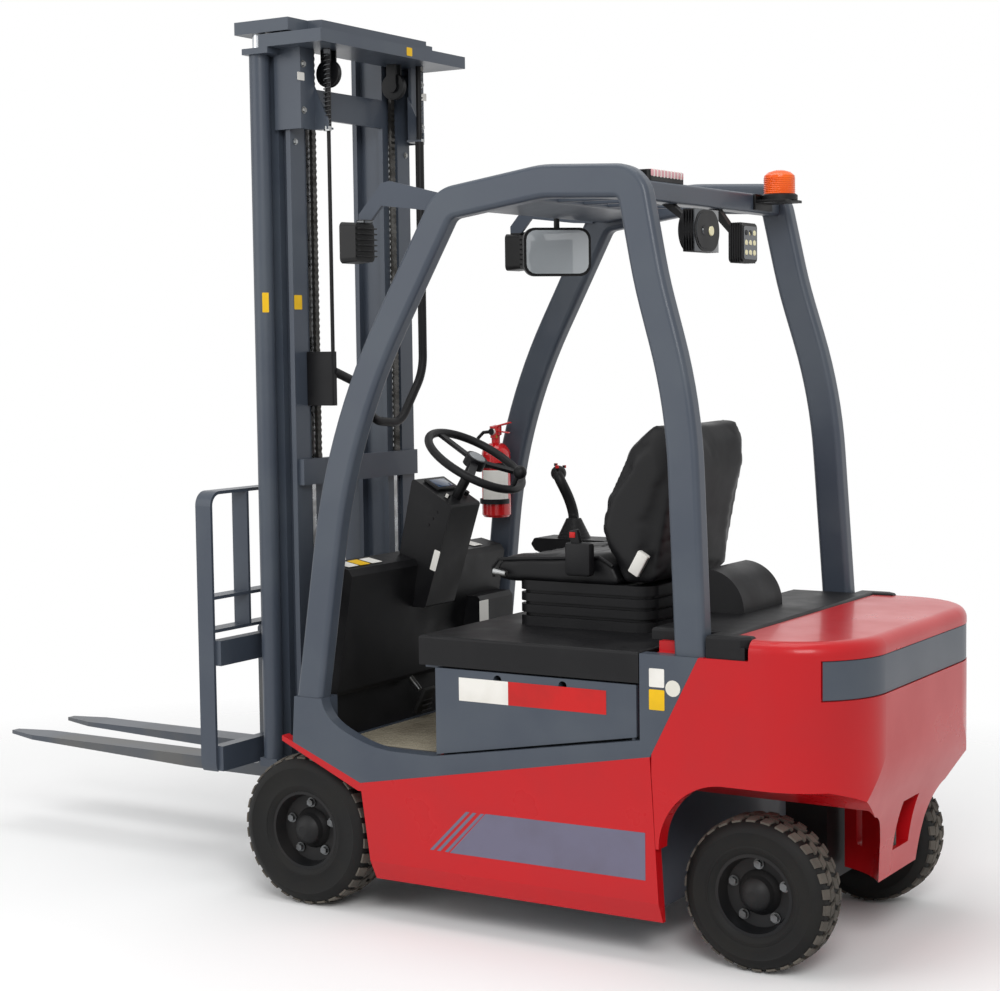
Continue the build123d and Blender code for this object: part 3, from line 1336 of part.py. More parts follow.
# Leaning steering column box and its shaft
column_lean = radians(wheel_lean)
hub = (axle_x + wheel_hub_x, 0, wheel_hub_z)
with BuildPart() as column:
    with BuildSketch(side(column_half_width)):
        add(column_outline())
    extrude(amount=2 * column_half_width)
    fillet(column.edges().filter_by(Axis.Y), 10)
    with BuildSketch(Plane(origin=hub, x_dir=(0, 1, 0), z_dir=(sin(column_lean), 0, -cos(column_lean)))):
        Circle(16)
    extrude(amount=135)
save(column, "steering_column")

with BuildPart() as steering_wheel:
    spin = Plane(origin=hub, x_dir=(0, 1, 0), z_dir=(-sin(column_lean), 0, cos(column_lean)))
    with BuildSketch(spin.offset(running_gap)):
        Circle(34)
    extrude(amount=34)
    with BuildSketch(spin.offset(14)):
        with PolarLocations(wheel_radius / 2, 3, start_angle=30):
            Rectangle(wheel_radius, 24)
    extrude(amount=10)
    with Locations(spin.offset(20)):
        Torus(wheel_radius, wheel_rim_radius)
    with Locations(spin.offset(20) * Location((0, wheel_radius - 6, 0))):
        Cylinder(7, 60, align=(Align.CENTER, Align.CENTER, Align.MIN))
        with Locations((0, 0, 58)):
            Sphere(21)
save(steering_wheel, "steering_wheel")

# Seat: bellows over the suspension, cushion and backrest
bellows_folds = 3
fold_pitch = (seat_height - hood_top) / (bellows_folds + 1)
with BuildPart() as seat_base:
    with BuildSketch(plan(hood_top)):
        with Locations((seat_x, 0)):
            RectangleRounded(450, 2 * seat_half_width - 40, 50)
    extrude(amount=seat_height - running_gap - hood_top)
    for fold in range(bellows_folds):
        with BuildSketch(plan(hood_top + (fold + 1) * fold_pitch - 5)):
            with Locations((seat_x, 0)):
                RectangleRounded(460, 2 * seat_half_width - 30, 55)
                RectangleRounded(426, 2 * seat_half_width - 64, 40, mode=Mode.SUBTRACT)
        extrude(amount=10, mode=Mode.SUBTRACT)
save(seat_base, "seat_suspension")

with BuildPart() as cushion:
    with BuildSketch(side(seat_half_width)):
        with BuildLine():
            Polyline(
                (seat_x + 288, seat_height), (seat_x + 292, seat_height + 37), (seat_x + 270, seat_height + 61),
                (seat_x - 68, seat_height + 81), (seat_x - 115, seat_height + 55), (seat_x - 140, seat_height), close=True,
            )
        make_face()
    extrude(amount=2 * seat_half_width)
    fillet(cushion.edges().filter_by(Axis.Y), 12)
save(cushion, "seat_cushion")

with BuildPart() as seat_back:
    with BuildSketch(side(seat_half_width - 5)):
        with BuildLine():
            Polyline(
                (seat_x - 140 - 2 * running_gap, seat_height), (seat_x - 115 - 2 * running_gap, seat_height + 55),
                (seat_x - 85, seat_height + 105), (seat_x - 66, seat_height + 165), (seat_x - 84, seat_height + 255),
                (seat_x - 160, seat_height + 400), (seat_x - 240, seat_height + 467), (seat_x - 285, seat_height + 463),
                (seat_x - 308, seat_height + 415), (seat_x - 312, seat_height + 335), (seat_x - 247, seat_height + 18),
                (seat_x - 225, seat_height), close=True,
            )
        make_face()
    extrude(amount=2 * seat_half_width - 10)
    fillet(seat_back.edges().filter_by(Axis.Y), 12)
save(seat_back, "seat_backrest")

# Right-hand console that reaches forward as an arm, with the lever on it
console_y = -300.0
console_width = 120.0
console_top = 1052.0
with BuildPart() as console:
    with BuildSketch(side(console_y)):
        with BuildLine():
            FilletPolyline(
                (hood_front - 28, hood_top), (hood_front - 28, console_top - 92), (-332, console_top - 40),
                (-317, console_top - 20), (-330, console_top), (-583, console_top), (-650, console_top - 40),
                (-900, console_top - 50), (-930, hood_top),
                radius=8, close=True,
            )
        make_face()
    extrude(amount=console_width)
save(console, "side_console")

boot_height = 62.0
with BuildPart() as lever:
    boot = Plane(origin=(axle_x - 443, console_y - console_width / 2, console_top + running_gap))
    with BuildSketch(boot):
        Circle(54)
    with BuildSketch(boot.offset(boot_height)):
        Circle(24)
    loft()
    with BuildLine(side(console_y - console_width / 2)) as grip:
        Spline((-440, console_top + boot_height - 5), (-424, 1180), (-388, 1258), tangents=((0, 1), (0.6, 1)))
    with BuildSketch(Plane(origin=grip.line @ 0, z_dir=grip.line % 0)):
        Circle(17)
    sweep(path=grip.line)
    with Locations(Location(grip.line @ 1)):
        Sphere(25)
save(lever, "control_lever")

extinguisher_wall_top = extinguisher_bottom + 205
extinguisher_y = guard_base_y - guard_thickness / cos(lean) - extinguisher_wall_top * tan(lean) - running_gap
with BuildPart() as extinguisher:
    spot = (axle_x - 121, -extinguisher_y + extinguisher_radius, extinguisher_bottom)
    with BuildSketch(Plane(origin=spot, x_dir=(1, 0, 0), z_dir=(0, -1, 0))):
        with BuildLine():
            Polyline((0, 0), (extinguisher_radius - 6, 0), (extinguisher_radius, 8), (extinguisher_radius, 205))
            ThreePointArc((extinguisher_radius, 205), (34, 236), (14, 246))
            Polyline((14, 246), (14, 268), (20, 272), (20, 300), (0, 305), (0, 0))
        make_face()
    revolve(axis=Axis(spot, (0, 0, 1)))
save(extinguisher, "extinguisher")

# Cover over the back of the battery bay, with two side lobes and a hump behind the seat
hump_radius = 128.0
hump_half_width = 130.0
foot_clear_y = bay_half_width - 34
with BuildPart() as rear_cover:
    with BuildSketch(plan(cover_seat_z)):
        with BuildLine():
            lobe_outer = body_half_width - 3
            lobe_in = lobe_inner_y + running_gap
            half_outline = [
                (cover_front, foot_clear_y), (lobe_front, foot_clear_y), (lobe_front, lobe_outer),
                (lobe_rear + 25, lobe_outer), (lobe_rear + running_gap, lobe_outer - 22),
                (lobe_rear + running_gap, lobe_in), (cover_rear + running_gap, lobe_in),
            ]
            other_half = [(spot[0], -spot[1]) for spot in reversed(half_outline)]
            Polyline(*half_outline, *other_half, close=True)
        make_face()
    extrude(amount=cover_top - cover_seat_z)
    fillet(rear_cover.edges().group_by(Axis.Z)[-1], 10)
    for hand in (1, -1):
        with BuildSketch(plan(lobe_bottom)):
            with Locations(((lobe_front + lobe_rear) / 2 + 6, hand * (lobe_inner_y + lobe_outer) / 2)):
                Rectangle(lobe_front - lobe_rear - 12, lobe_outer - lobe_inner_y - 2)
        extrude(amount=cover_seat_z - lobe_bottom + 5)
    with BuildSketch(side(hump_half_width)):
        with BuildLine():
            crest = cover_front - hump_radius * 0.9
            base = cover_top - 5
            Line((cover_front, base), (cover_front, base + hump_radius))
            ThreePointArc(
                (cover_front, base + hump_radius),
                (cover_front - hump_radius * 0.62, base + hump_radius * 0.74),
                (crest, base),
            )
            Line((crest, base), (cover_front, base))
        make_face()
    extrude(amount=2 * hump_half_width)
save(rear_cover, "rear_cover")


# Front lamps on their arms
lamp_y = body_half_width - 85


def work_lamp(hand):
    with BuildPart() as body:
        with BuildSketch(guard_plane(hand, guard_thickness + running_gap)):
            with BuildLine():
                Polyline(
                    (-490, 2058), (-500, 2100), (-290, 2152), (-262, 2148), (-182, 2060), (-182, 2020), (-206, 2020),
                    (-262, 2082), (-420, 2062), close=True,
                )
            make_face()
        extrude(amount=hand * 12)
        with BuildSketch(front(-222)):
            with Locations((hand * lamp_y, 1975)):
                RectangleRounded(94, 112, 14)
        with BuildSketch(front(-168)):
            with Locations((hand * lamp_y, 1975)):
                RectangleRounded(102, 120, 16)
        loft()
        with BuildSketch(front(-170)):
            with Locations((hand * lamp_y, 1975)):
                RectangleRounded(88, 106, 12)
        extrude(amount=10, mode=Mode.SUBTRACT)
    return body


left_work_lamp = work_lamp(1)
save(left_work_lamp, "left_work_lamp")
right_work_lamp = work_lamp(-1)
save(right_work_lamp, "right_work_lamp")

# Lamps on the rear cross: a flat strobe, a spot lamp and a square lamp
cross_rear_x = guard_rear_x - guard_rear_size / 2
cross_low = guard_rear_z - guard_rear_size / 2 - running_gap
cross_high = guard_rear_z + guard_rear_size / 2 + running_gap
with BuildPart() as rear_lamps:
    with BuildSketch(plan(cross_high)):
        with Locations((guard_rear_x, 300)):
            RectangleRounded(46, 210, 12)
    extrude(amount=30)
    for lamp_side, lamp_z in ((245, 1978), (-45, 1955)):
        with BuildSketch(side(lamp_side + 14)):
            with BuildLine():
                Polyline(
                    (guard_rear_x + 16, cross_low), (guard_rear_x - 16, cross_low), (cross_rear_x - 38, lamp_z + 30),
                    (cross_rear_x - 38, lamp_z - 20), (cross_rear_x - 26, lamp_z - 20), (cross_rear_x - 26, lamp_z + 24),
                    close=True,
                )
            make_face()
        extrude(amount=28)
    with BuildSketch(front(cross_rear_x - 36)):
        with Locations((245, 1978)):
            SlotOverall(150, 112)
    extrude(amount=-52)
    with BuildSketch(front(cross_rear_x - 36)):
        with Locations((-45, 1955)):
            RectangleRounded(98, 108, 12)
    extrude(amount=-44)
save(rear_lamps, "rear_lamps")

# Beacon on a folded bracket behind the rear cross
beacon_y = -300.0
beacon_x = cross_rear_x - 52
shelf_z = guard_rear_z
with BuildPart() as beacon:
    with BuildSketch(side(beacon_y + 60)):
        with BuildLine():
            bracket_face = cross_rear_x - running_gap
            Polyline(
                (bracket_face, shelf_z - 20), (bracket_face, shelf_z + 26), (bracket_face - 8, shelf_z + 26),
                (bracket_face - 8, shelf_z + 8), (beacon_x - 52, shelf_z + 8), (beacon_x - 52, shelf_z),
                (bracket_face - 8, shelf_z), (bracket_face - 8, shelf_z - 20), close=True,
            )
        make_face()
    extrude(amount=120)
    with BuildSketch(Plane(origin=(axle_x + beacon_x - 6, beacon_y, shelf_z), x_dir=(1, 0, 0), z_dir=(0, -1, 0))):
        with BuildLine():
            Polyline((0, 4), (54, 4), (54, 22), (47, 27), (47, 78))
            ThreePointArc((47, 78), (34, 91), (14, 96))
            Polyline((14, 96), (0, 96), (0, 4))
        make_face()
    revolve(axis=Axis((axle_x + beacon_x - 6, beacon_y, shelf_z), (0, 0, 1)))
save(beacon, "beacon")

# Mirror inside the cab, turned half towards the driver
mirror_x = -484.0
mirror_y = -200.0
mirror_z = 1959.0
arm_top_z = guard_front_z - guard_front_depth / 2 * sin(radians(guard_tilt))
arm_end_x = guard_front_x + guard_front_depth / 2 * cos(radians(guard_tilt)) + 1.6
with BuildPart() as mirror_piece:
    with BuildSketch(Plane(origin=(axle_x + mirror_x, mirror_y, mirror_z), x_dir=(1, 1, 0), z_dir=(-1, 1, 0))):
        RectangleRounded(215, 150, 36)
    extrude(amount=9, both=True)
    with BuildLine(side(mirror_y)) as arm:
        FilletPolyline((mirror_x, mirror_z + 60), (mirror_x, arm_top_z), (arm_end_x, arm_top_z), radius=14)
    with BuildSketch(Plane(origin=arm.line @ 0, z_dir=arm.line % 0)):
        Circle(9)
    sweep(path=arm.line)
save(mirror_piece, "mirror")
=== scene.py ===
import json
from math import cos, pi, radians, sin

import bmesh
import bpy
from mathutils import Matrix, Vector, noise


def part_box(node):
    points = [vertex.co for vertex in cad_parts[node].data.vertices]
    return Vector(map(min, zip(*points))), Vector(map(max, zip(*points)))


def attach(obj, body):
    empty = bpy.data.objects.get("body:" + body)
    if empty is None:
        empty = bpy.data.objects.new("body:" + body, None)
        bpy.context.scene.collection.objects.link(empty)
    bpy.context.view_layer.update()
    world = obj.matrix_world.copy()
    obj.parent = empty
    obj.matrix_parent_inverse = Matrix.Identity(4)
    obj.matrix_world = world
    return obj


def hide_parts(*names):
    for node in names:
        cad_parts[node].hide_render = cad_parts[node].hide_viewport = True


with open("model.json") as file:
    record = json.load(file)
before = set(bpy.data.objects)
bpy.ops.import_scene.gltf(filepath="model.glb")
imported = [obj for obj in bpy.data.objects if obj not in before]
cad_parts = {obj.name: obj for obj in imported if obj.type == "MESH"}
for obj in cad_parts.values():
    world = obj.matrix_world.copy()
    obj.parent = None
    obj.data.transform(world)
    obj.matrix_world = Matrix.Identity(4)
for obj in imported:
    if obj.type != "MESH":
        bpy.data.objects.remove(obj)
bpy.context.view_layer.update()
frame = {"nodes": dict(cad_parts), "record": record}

bl_info = {
    "name": "Forklift looks",
    "version": (1, 0, 0),
    "blender": (4, 5, 0),
    "location": "3D View > Sidebar > Forklift",
    "description": "Gives the packed forklift its finishes, tread, seat, hoses, lamps and labels",
    "category": "Add Mesh",
}

# One millimetre in Blender's metres
MM = 0.001


# Colour and node helpers
def linear(code, alpha=1.0):
    """Turn an sRGB hex colour into Blender's linear RGBA."""
    shades = []
    for start in (1, 3, 5):
        part = int(code[start:start + 2], 16) / 255
        shades.append(part / 12.92 if part <= 0.04045 else ((part + 0.055) / 1.055) ** 2.4)
    return (*shades, alpha)


def add_node(tree, kind, inputs=None, **settings):
    """Add one node with its settings; inputs holds values, or other nodes' outputs to link."""
    made = tree.nodes.new(kind)
    for name, value in settings.items():
        setattr(made, name, value)
    for key, value in (inputs or {}).items():
        if isinstance(value, bpy.types.NodeSocket):
            tree.links.new(value, made.inputs[key])
        else:
            made.inputs[key].default_value = value
    return made


def new_material(name):
    """Make an empty node material and its output."""
    made = bpy.data.materials.new(name)
    made.use_nodes = True
    made.node_tree.nodes.clear()
    return made, made.node_tree, made.node_tree.nodes.new("ShaderNodeOutputMaterial")


def object_noise(tree, size_mm, detail=2.0, roughness=0.5, stretch=(1, 1, 1)):
    """Noise on Object coordinates whose grain is about size_mm across."""
    place = add_node(tree, "ShaderNodeTexCoord")
    scale = add_node(tree, "ShaderNodeMapping", {"Vector": place.outputs["Object"], "Scale": stretch})
    return add_node(
        tree, "ShaderNodeTexNoise",
        {"Vector": scale.outputs[0], "Scale": 1000 / size_mm, "Detail": detail, "Roughness": roughness},
    )


def mixed_colour(tree, amount, first, second):
    """Blend two linear colours, or colour outputs, by an amount output."""
    mix = add_node(tree, "ShaderNodeMix", data_type="RGBA")
    tree.links.new(amount, mix.inputs[0])
    for socket, value in ((mix.inputs[6], first), (mix.inputs[7], second)):
        if isinstance(value, bpy.types.NodeSocket):
            tree.links.new(value, socket)
        else:
            socket.default_value = value
    return mix.outputs[2]


def spread(tree, value, low, high, start=0.0, end=1.0):
    """Stretch a value from low..high to start..end, held at the ends."""
    return add_node(
        tree, "ShaderNodeMapRange",
        {"Value": value, "From Min": low, "From Max": high, "To Min": start, "To Max": end},
    ).outputs[0]


def enamel(name, shade, faded, gloss, coat, grain_mm=1.6, grain=0.05, shine=0.3):
    """Sprayed enamel on steel: even colour, a fine orange peel and a film of dust that dulls the gloss."""
    made, tree, out = new_material(name)
    patches = object_noise(tree, 260, detail=4.0)
    film = spread(tree, patches.outputs["Fac"], 0.42, 0.68)
    peel = object_noise(tree, grain_mm, detail=1.0)
    bump = add_node(
        tree, "ShaderNodeBump", {"Height": peel.outputs["Fac"], "Strength": grain, "Distance": 0.4 * MM}
    )
    dull = spread(tree, patches.outputs["Fac"], 0.35, 0.75, gloss, gloss + 0.14)
    colour = mixed_colour(tree, film, linear(shade), linear(faded))
    surface = add_node(
        tree, "ShaderNodeBsdfPrincipled",
        {"Base Color": colour, "Roughness": dull, "Normal": bump.outputs[0], "Coat Weight": coat,
         "Coat Roughness": 0.08, "Specular IOR Level": shine},
    )
    tree.links.new(surface.outputs[0], out.inputs[0])
    return made


def moulded_plastic(name, shade, worn, gloss=0.42, grain_mm=1.1, grain=0.25, shine=0.3):
    """Injection-moulded plastic with a leather-like pebble grain and rubbed patches."""
    made, tree, out = new_material(name)
    patches = object_noise(tree, 120, detail=5.0)
    film = spread(tree, patches.outputs["Fac"], 0.45, 0.75)
    pebble = object_noise(tree, grain_mm, detail=2.0)
    bump = add_node(
        tree, "ShaderNodeBump", {"Height": pebble.outputs["Fac"], "Strength": grain, "Distance": 0.25 * MM}
    )
    colour = mixed_colour(tree, film, linear(shade), linear(worn))
    dull = spread(tree, patches.outputs["Fac"], 0.35, 0.7, gloss, gloss + 0.16)
    surface = add_node(
        tree, "ShaderNodeBsdfPrincipled",
        {"Base Color": colour, "Roughness": dull, "Normal": bump.outputs[0], "Specular IOR Level": shine},
    )
    tree.links.new(surface.outputs[0], out.inputs[0])
    return made


def clear_plastic(name, shade, gloss=0.1, shine=0.6):
    """Even glossy plastic or glass with no grain."""
    made, tree, out = new_material(name)
    surface = add_node(
        tree, "ShaderNodeBsdfPrincipled",
        {"Base Color": linear(shade), "Roughness": gloss, "Specular IOR Level": shine},
    )
    tree.links.new(surface.outputs[0], out.inputs[0])
    return made


def arm_and_lamp(name, shade, arm_shade, split_mm):
    """Black lamp housing under a grey enamelled arm, parted at a height."""
    made, tree, out = new_material(name)
    place = add_node(tree, "ShaderNodeTexCoord")
    height = add_node(tree, "ShaderNodeSeparateXYZ", {0: place.outputs["Object"]})
    above = spread(tree, height.outputs["Z"], (split_mm - 0.5) * MM, (split_mm + 0.5) * MM)
    colour = mixed_colour(tree, above, linear(shade), linear(arm_shade))
    surface = add_node(
        tree, "ShaderNodeBsdfPrincipled", {"Base Color": colour, "Roughness": 0.45, "Specular IOR Level": 0.3}
    )
    tree.links.new(surface.outputs[0], out.inputs[0])
    return made


def bare_metal(name, shade, stain, gloss, lay_mm=3.0, stretch=(1, 1, 1), grain=0.05):
    """Bare metal with the lay of its machining and stains that dull it."""
    made, tree, out = new_material(name)
    patches = object_noise(tree, 45, detail=5.0)
    film = spread(tree, patches.outputs["Fac"], 0.45, 0.72)
    lay = object_noise(tree, lay_mm, detail=2.0, stretch=stretch)
    bump = add_node(
        tree, "ShaderNodeBump", {"Height": lay.outputs["Fac"], "Strength": grain, "Distance": 0.2 * MM}
    )
    colour = mixed_colour(tree, film, linear(shade), linear(stain))
    dull = spread(tree, patches.outputs["Fac"], 0.35, 0.7, gloss, gloss + 0.2)
    surface = add_node(
        tree, "ShaderNodeBsdfPrincipled",
        {"Base Color": colour, "Roughness": dull, "Metallic": 1.0, "Normal": bump.outputs[0]},
    )
    tree.links.new(surface.outputs[0], out.inputs[0])
    return made


# Shape helpers; sizes are millimetres, x is measured from the front axle
AXLE_X = 92.5


def at(x, y, z):
    """Point in metres in the row frame."""
    return Vector((x + AXLE_X, y, z)) * MM


def paint_new(shape, start, index):
    for face in list(shape.faces)[start:]:
        face.material_index = index


def block(shape, centre, size, bevel=2.0, index=0, turn=None):
    """Rounded box round a point, turned by a matrix."""
    start = len(shape.faces)
    shape.faces.ensure_lookup_table()
    place = Matrix.Translation(at(*centre)) @ (turn or Matrix.Identity(4))
    stretch = Matrix.Diagonal((size[0] * MM, size[1] * MM, size[2] * MM, 1))
    made = bmesh.ops.create_cube(shape, size=1.0, matrix=place @ stretch)
    if bevel:
        edges = list({edge for vert in made["verts"] for edge in vert.link_edges})
        bmesh.ops.bevel(
            shape, geom=edges, offset=bevel * MM, segments=2, profile=0.5, affect="EDGES", material=-1
        )
    paint_new(shape, start, index)


def rod(shape, begin, end, radius, top=None, sides=24, index=0):
    """Round bar or cone from one point to another."""
    start = len(shape.faces)
    low, high = at(*begin), at(*end)
    run = high - low
    place = Matrix.Translation((low + high) / 2) @ run.to_track_quat("Z", "Y").to_matrix().to_4x4()
    bmesh.ops.create_cone(
        shape, cap_ends=True, cap_tris=False, segments=sides, radius1=radius * MM,
        radius2=(radius if top is None else top) * MM, depth=run.length, matrix=place,
    )
    paint_new(shape, start, index)


def hose(shape, points, radius, sides=12, index=0):
    """Round tube through points, with capped ends."""
    start = len(shape.faces)
    places = [at(*point) for point in points]
    rings = []
    side = None
    for step, place in enumerate(places):
        before = places[max(step - 1, 0)]
        after = places[min(step + 1, len(places) - 1)]
        ahead = (after - before).normalized()
        if side is None:
            side = ahead.orthogonal().normalized()
        side = (side - ahead * side.dot(ahead)).normalized()
        over = ahead.cross(side)
        rings.append([
            shape.verts.new(place + radius * MM * (cos(2 * pi * turn / sides) * side + sin(2 * pi * turn / sides) * over))
            for turn in range(sides)
        ])
    for first, second in zip(rings, rings[1:]):
        for turn in range(sides):
            following = (turn + 1) % sides
            shape.faces.new((first[turn], first[following], second[following], second[turn]))
    shape.faces.new(rings[0])
    shape.faces.new(rings[-1])
    shape.faces.ensure_lookup_table()
    paint_new(shape, start, index)


def lathe(shape, centre, axis, profile, steps=32, index=0):
    """Spin a profile of radius and height pairs round an axis through a point."""
    start = len(shape.faces)
    place = at(*centre)
    axis = Vector(axis).normalized()
    side = axis.orthogonal().normalized()
    line = [shape.verts.new(place + MM * (radius * side + height * axis)) for radius, height in profile]
    edges = [shape.edges.new(pair) for pair in zip(line, line[1:])]
    bmesh.ops.spin(
        shape, geom=line + edges, cent=place, axis=axis, angle=2 * pi, steps=steps, use_merge=True,
        use_duplicate=False,
    )
    shape.faces.ensure_lookup_table()
    paint_new(shape, start, index)


def plate(shape, outline, push, index=0):
    """Flat plate from an outline of points, thickened along a vector."""
    start = len(shape.faces)
    face = shape.faces.new([shape.verts.new(at(*point)) for point in outline])
    made = bmesh.ops.extrude_face_region(shape, geom=[face])
    moved = [item for item in made["geom"] if isinstance(item, bmesh.types.BMVert)]
    bmesh.ops.translate(shape, verts=moved, vec=Vector(push) * MM)
    shape.faces.ensure_lookup_table()
    paint_new(shape, start, index)


def rounded(width, height, corner, steps=4):
    """Outline points of a rounded rectangle round zero."""
    points = []
    for turn, (across, up) in enumerate(((1, 1), (-1, 1), (-1, -1), (1, -1))):
        for step in range(steps + 1):
            angle = pi / 2 * (turn + step / steps)
            points.append((
                across * (width / 2 - corner) + corner * cos(angle), up * (height / 2 - corner) + corner * sin(angle)
            ))
    return points


def label(shape, centre, size, facing, corner=4.0, index=0, lift=0.8, turn=0.0):
    """Blank sticker or plate with rounded corners that faces along a direction."""
    ahead = Vector(facing).normalized()
    across = Vector((0, 0, 1)).cross(ahead)
    across = Vector((0, 1, 0)) if across.length < 0.1 else across.normalized()
    up = ahead.cross(across)
    across, up = across * cos(turn) + up * sin(turn), up * cos(turn) - across * sin(turn)
    spot = Vector(centre)
    outline = [tuple(spot + across * u + up * v) for u, v in rounded(*size, corner)]
    plate(shape, outline, ahead * lift, index)


def bolt(shape, centre, facing, radius=9.0, height=7.0, index=0):
    """Hexagon bolt head on a washer."""
    spot, ahead = Vector(centre), Vector(facing).normalized()
    rod(shape, tuple(spot), tuple(spot + ahead * height * 0.25), radius * 1.35, sides=16, index=index)
    rod(shape, tuple(spot + ahead * height * 0.2), tuple(spot + ahead * height), radius, sides=6, index=index)


def finished(shape, name, body, finishes, replaced=(), angle=35.0):
    """Turn a bmesh into a smooth-shaded piece that rides on a body."""
    bmesh.ops.recalc_face_normals(shape, faces=shape.faces)
    mesh = bpy.data.meshes.new(name)
    shape.to_mesh(mesh)
    shape.free()
    for finish in finishes:
        mesh.materials.append(bpy.data.materials[finish])
    mesh.polygons.foreach_set("use_smooth", [True] * len(mesh.polygons))
    mesh.set_sharp_from_angle(angle=radians(angle))
    thing = bpy.data.objects.new(name, mesh)
    bpy.context.scene.collection.objects.link(thing)
    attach(thing, body)
    if replaced:
        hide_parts(*replaced)
    return thing


class ForkliftPaint(bpy.types.PropertyGroup):
    """Colours of the frame and body enamels."""

    frame_grey: bpy.props.StringProperty(
        name="Frame grey", description="Slate grey enamel of mast, guard and sills, sRGB hex", default="#404752"
    )
    body_red: bpy.props.StringProperty(
        name="Body red", description="Red enamel of skirts and counterweight, sRGB hex", default="#B90C15"
    )


class ForkliftStage(bpy.types.PropertyGroup):
    """Camera place, heading, pitch, roll and lens."""

    eye: bpy.props.FloatVectorProperty(
        name="Camera place", description="Where the camera stands", subtype="TRANSLATION", unit="LENGTH",
        default=(-3.5834, 5.2696, 1.6801),
    )
    yaw: bpy.props.FloatProperty(
        name="Camera heading", description="Turn of the view from +X", unit="ROTATION", default=radians(-58.0446)
    )
    pitch: bpy.props.FloatProperty(
        name="Camera pitch", description="Tilt of the view, down is negative", unit="ROTATION",
        default=radians(-4.3143),
    )
    roll: bpy.props.FloatProperty(
        name="Camera roll", description="Turn of the picture", unit="ROTATION", default=radians(-0.7443)
    )
    lens: bpy.props.FloatProperty(
        name="Lens", description="Focal length on a 36 mm wide sensor", unit="CAMERA", default=72.88
    )


class FORKLIFT_OT_finishes(bpy.types.Operator):
    """Give every node of the frame the finish of its real material"""

    bl_idname = "forklift.finishes"
    bl_label = "Finishes"

    def execute(self, context):
        paint = context.scene.forklift_paint
        slots = {
            "frame_grey": enamel("slate_enamel", paint.frame_grey, "#484F58", 0.36, 0.1),
            "body_red": enamel("red_enamel", paint.body_red, "#B1131A", 0.26, 0.18, grain=0.02, shine=0.25),
            "black_plastic": moulded_plastic("black_abs", "#101012", "#1A1A1B", shine=0.22),
            "black_steel": enamel("black_chassis_enamel", "#111214", "#211F1E", 0.45, 0.0, shine=0.25),
            "tyre_rubber": moulded_plastic("black_tyre_rubber", "#141414", "#1F1E1C", gloss=0.55, grain_mm=2.0, grain=0.1, shine=0.2),
            "fork_steel": enamel("fork_enamel", "#4B5058", "#5C5C5B", 0.42, 0.1),
            "chrome_rod": bare_metal("hard_chrome", "#C9CCD0", "#A9ABAE", 0.12),
            "chain_steel": bare_metal("oiled_chain_steel", "#4B4A48", "#2E2C29", 0.38),
            "seat_vinyl": moulded_plastic("black_vinyl", "#0E0E10", "#171718", gloss=0.4, grain_mm=1.8, shine=0.25),
            "battery_case": enamel("battery_tray_enamel", "#3A4048", "#4A4D50", 0.5, 0.0),
            "beacon_amber": moulded_plastic("amber_polycarbonate", "#E8560F", "#F06A1E", gloss=0.18, grain=0.02),
            "red_paint": enamel("extinguisher_enamel", "#C51117", "#CC2A2B", 0.2, 0.6),
            "lamp_black": moulded_plastic("lamp_housing_black", "#0F0F10", "#181819", shine=0.25),
            "mirror_glass": clear_plastic("silvered_glass", "#B4BABE", 0.02, 1.0),
        }
        # finishes of the small pieces
        bare_metal("zinc_bolt", "#A4A6A6", "#6E6B66", 0.34)
        bare_metal("polished_track", "#B9BBBD", "#8C8B88", 0.22, lay_mm=1.5, stretch=(1, 1, 0.05))
        bare_metal("spring_steel", "#6D6F71", "#4B4946", 0.35)
        bare_metal("brass_valve", "#B08C4A", "#7E6636", 0.3)
        moulded_plastic("white_vinyl", "#E6E4DE", "#D5D2CA", gloss=0.35, grain=0.02)
        moulded_plastic("pale_vinyl", "#D9D7CC", "#C6C3B8", gloss=0.35, grain=0.02)
        moulded_plastic("yellow_vinyl", "#E8B90F", "#D2A70F", gloss=0.35, grain=0.02)
        moulded_plastic("red_vinyl", "#C01818", "#A91C1A", gloss=0.35, grain=0.02)
        moulded_plastic("decal_grey", "#68667A", "#625F70", gloss=0.3, grain=0.02)
        # Tread blocks in a grey-brown, lighter than the black rubber of the grooves and walls
        moulded_plastic("grey_tread_blocks", "#5B564F", "#3A3835", gloss=0.8, grain_mm=4.0)
        arm_and_lamp("lamp_with_grey_arm", "#101011", paint.frame_grey, 2037)
        moulded_plastic("beige_rubber", "#8E8777", "#7A7263", gloss=0.7)
        moulded_plastic("pedal_rubber", "#1C1C1C", "#2E2C29", gloss=0.7)
        moulded_plastic("boot_rubber", "#161616", "#242322", gloss=0.6)
        clear_plastic("display_glass", "#1D3A5C")
        moulded_plastic("grey_abs", "#8A8D90", "#7C7E80", gloss=0.4)
        clear_plastic("lens_glass", "#4C5054")
        clear_plastic("diode_yellow", "#E6DFB4", 0.2)
        moulded_plastic("pink_lens", "#D9A0A6", "#CC9098", gloss=0.15, grain=0.02)
        wanted = {row["node"]: row["material_slot"] for row in frame["record"]["subparts"]}
        for name, thing in frame["nodes"].items():
            if thing.type != "MESH":
                continue
            finish = slots[wanted[name]]
            if name.endswith("work_lamp"):
                finish = bpy.data.materials["lamp_with_grey_arm"]
            if not thing.material_slots:
                thing.data.materials.append(finish)
            for slot in thing.material_slots:
                slot.material = finish
        return {"FINISHED"}


class ForkliftWheels(bpy.types.PropertyGroup):
    """Tread of the tyres."""

    pitches: bpy.props.IntProperty(name="Tread pitches", description="Lugs round each shoulder", default=30, min=8)
    groove: bpy.props.FloatProperty(name="Groove depth", description="Depth of the tread, mm", default=8.0)


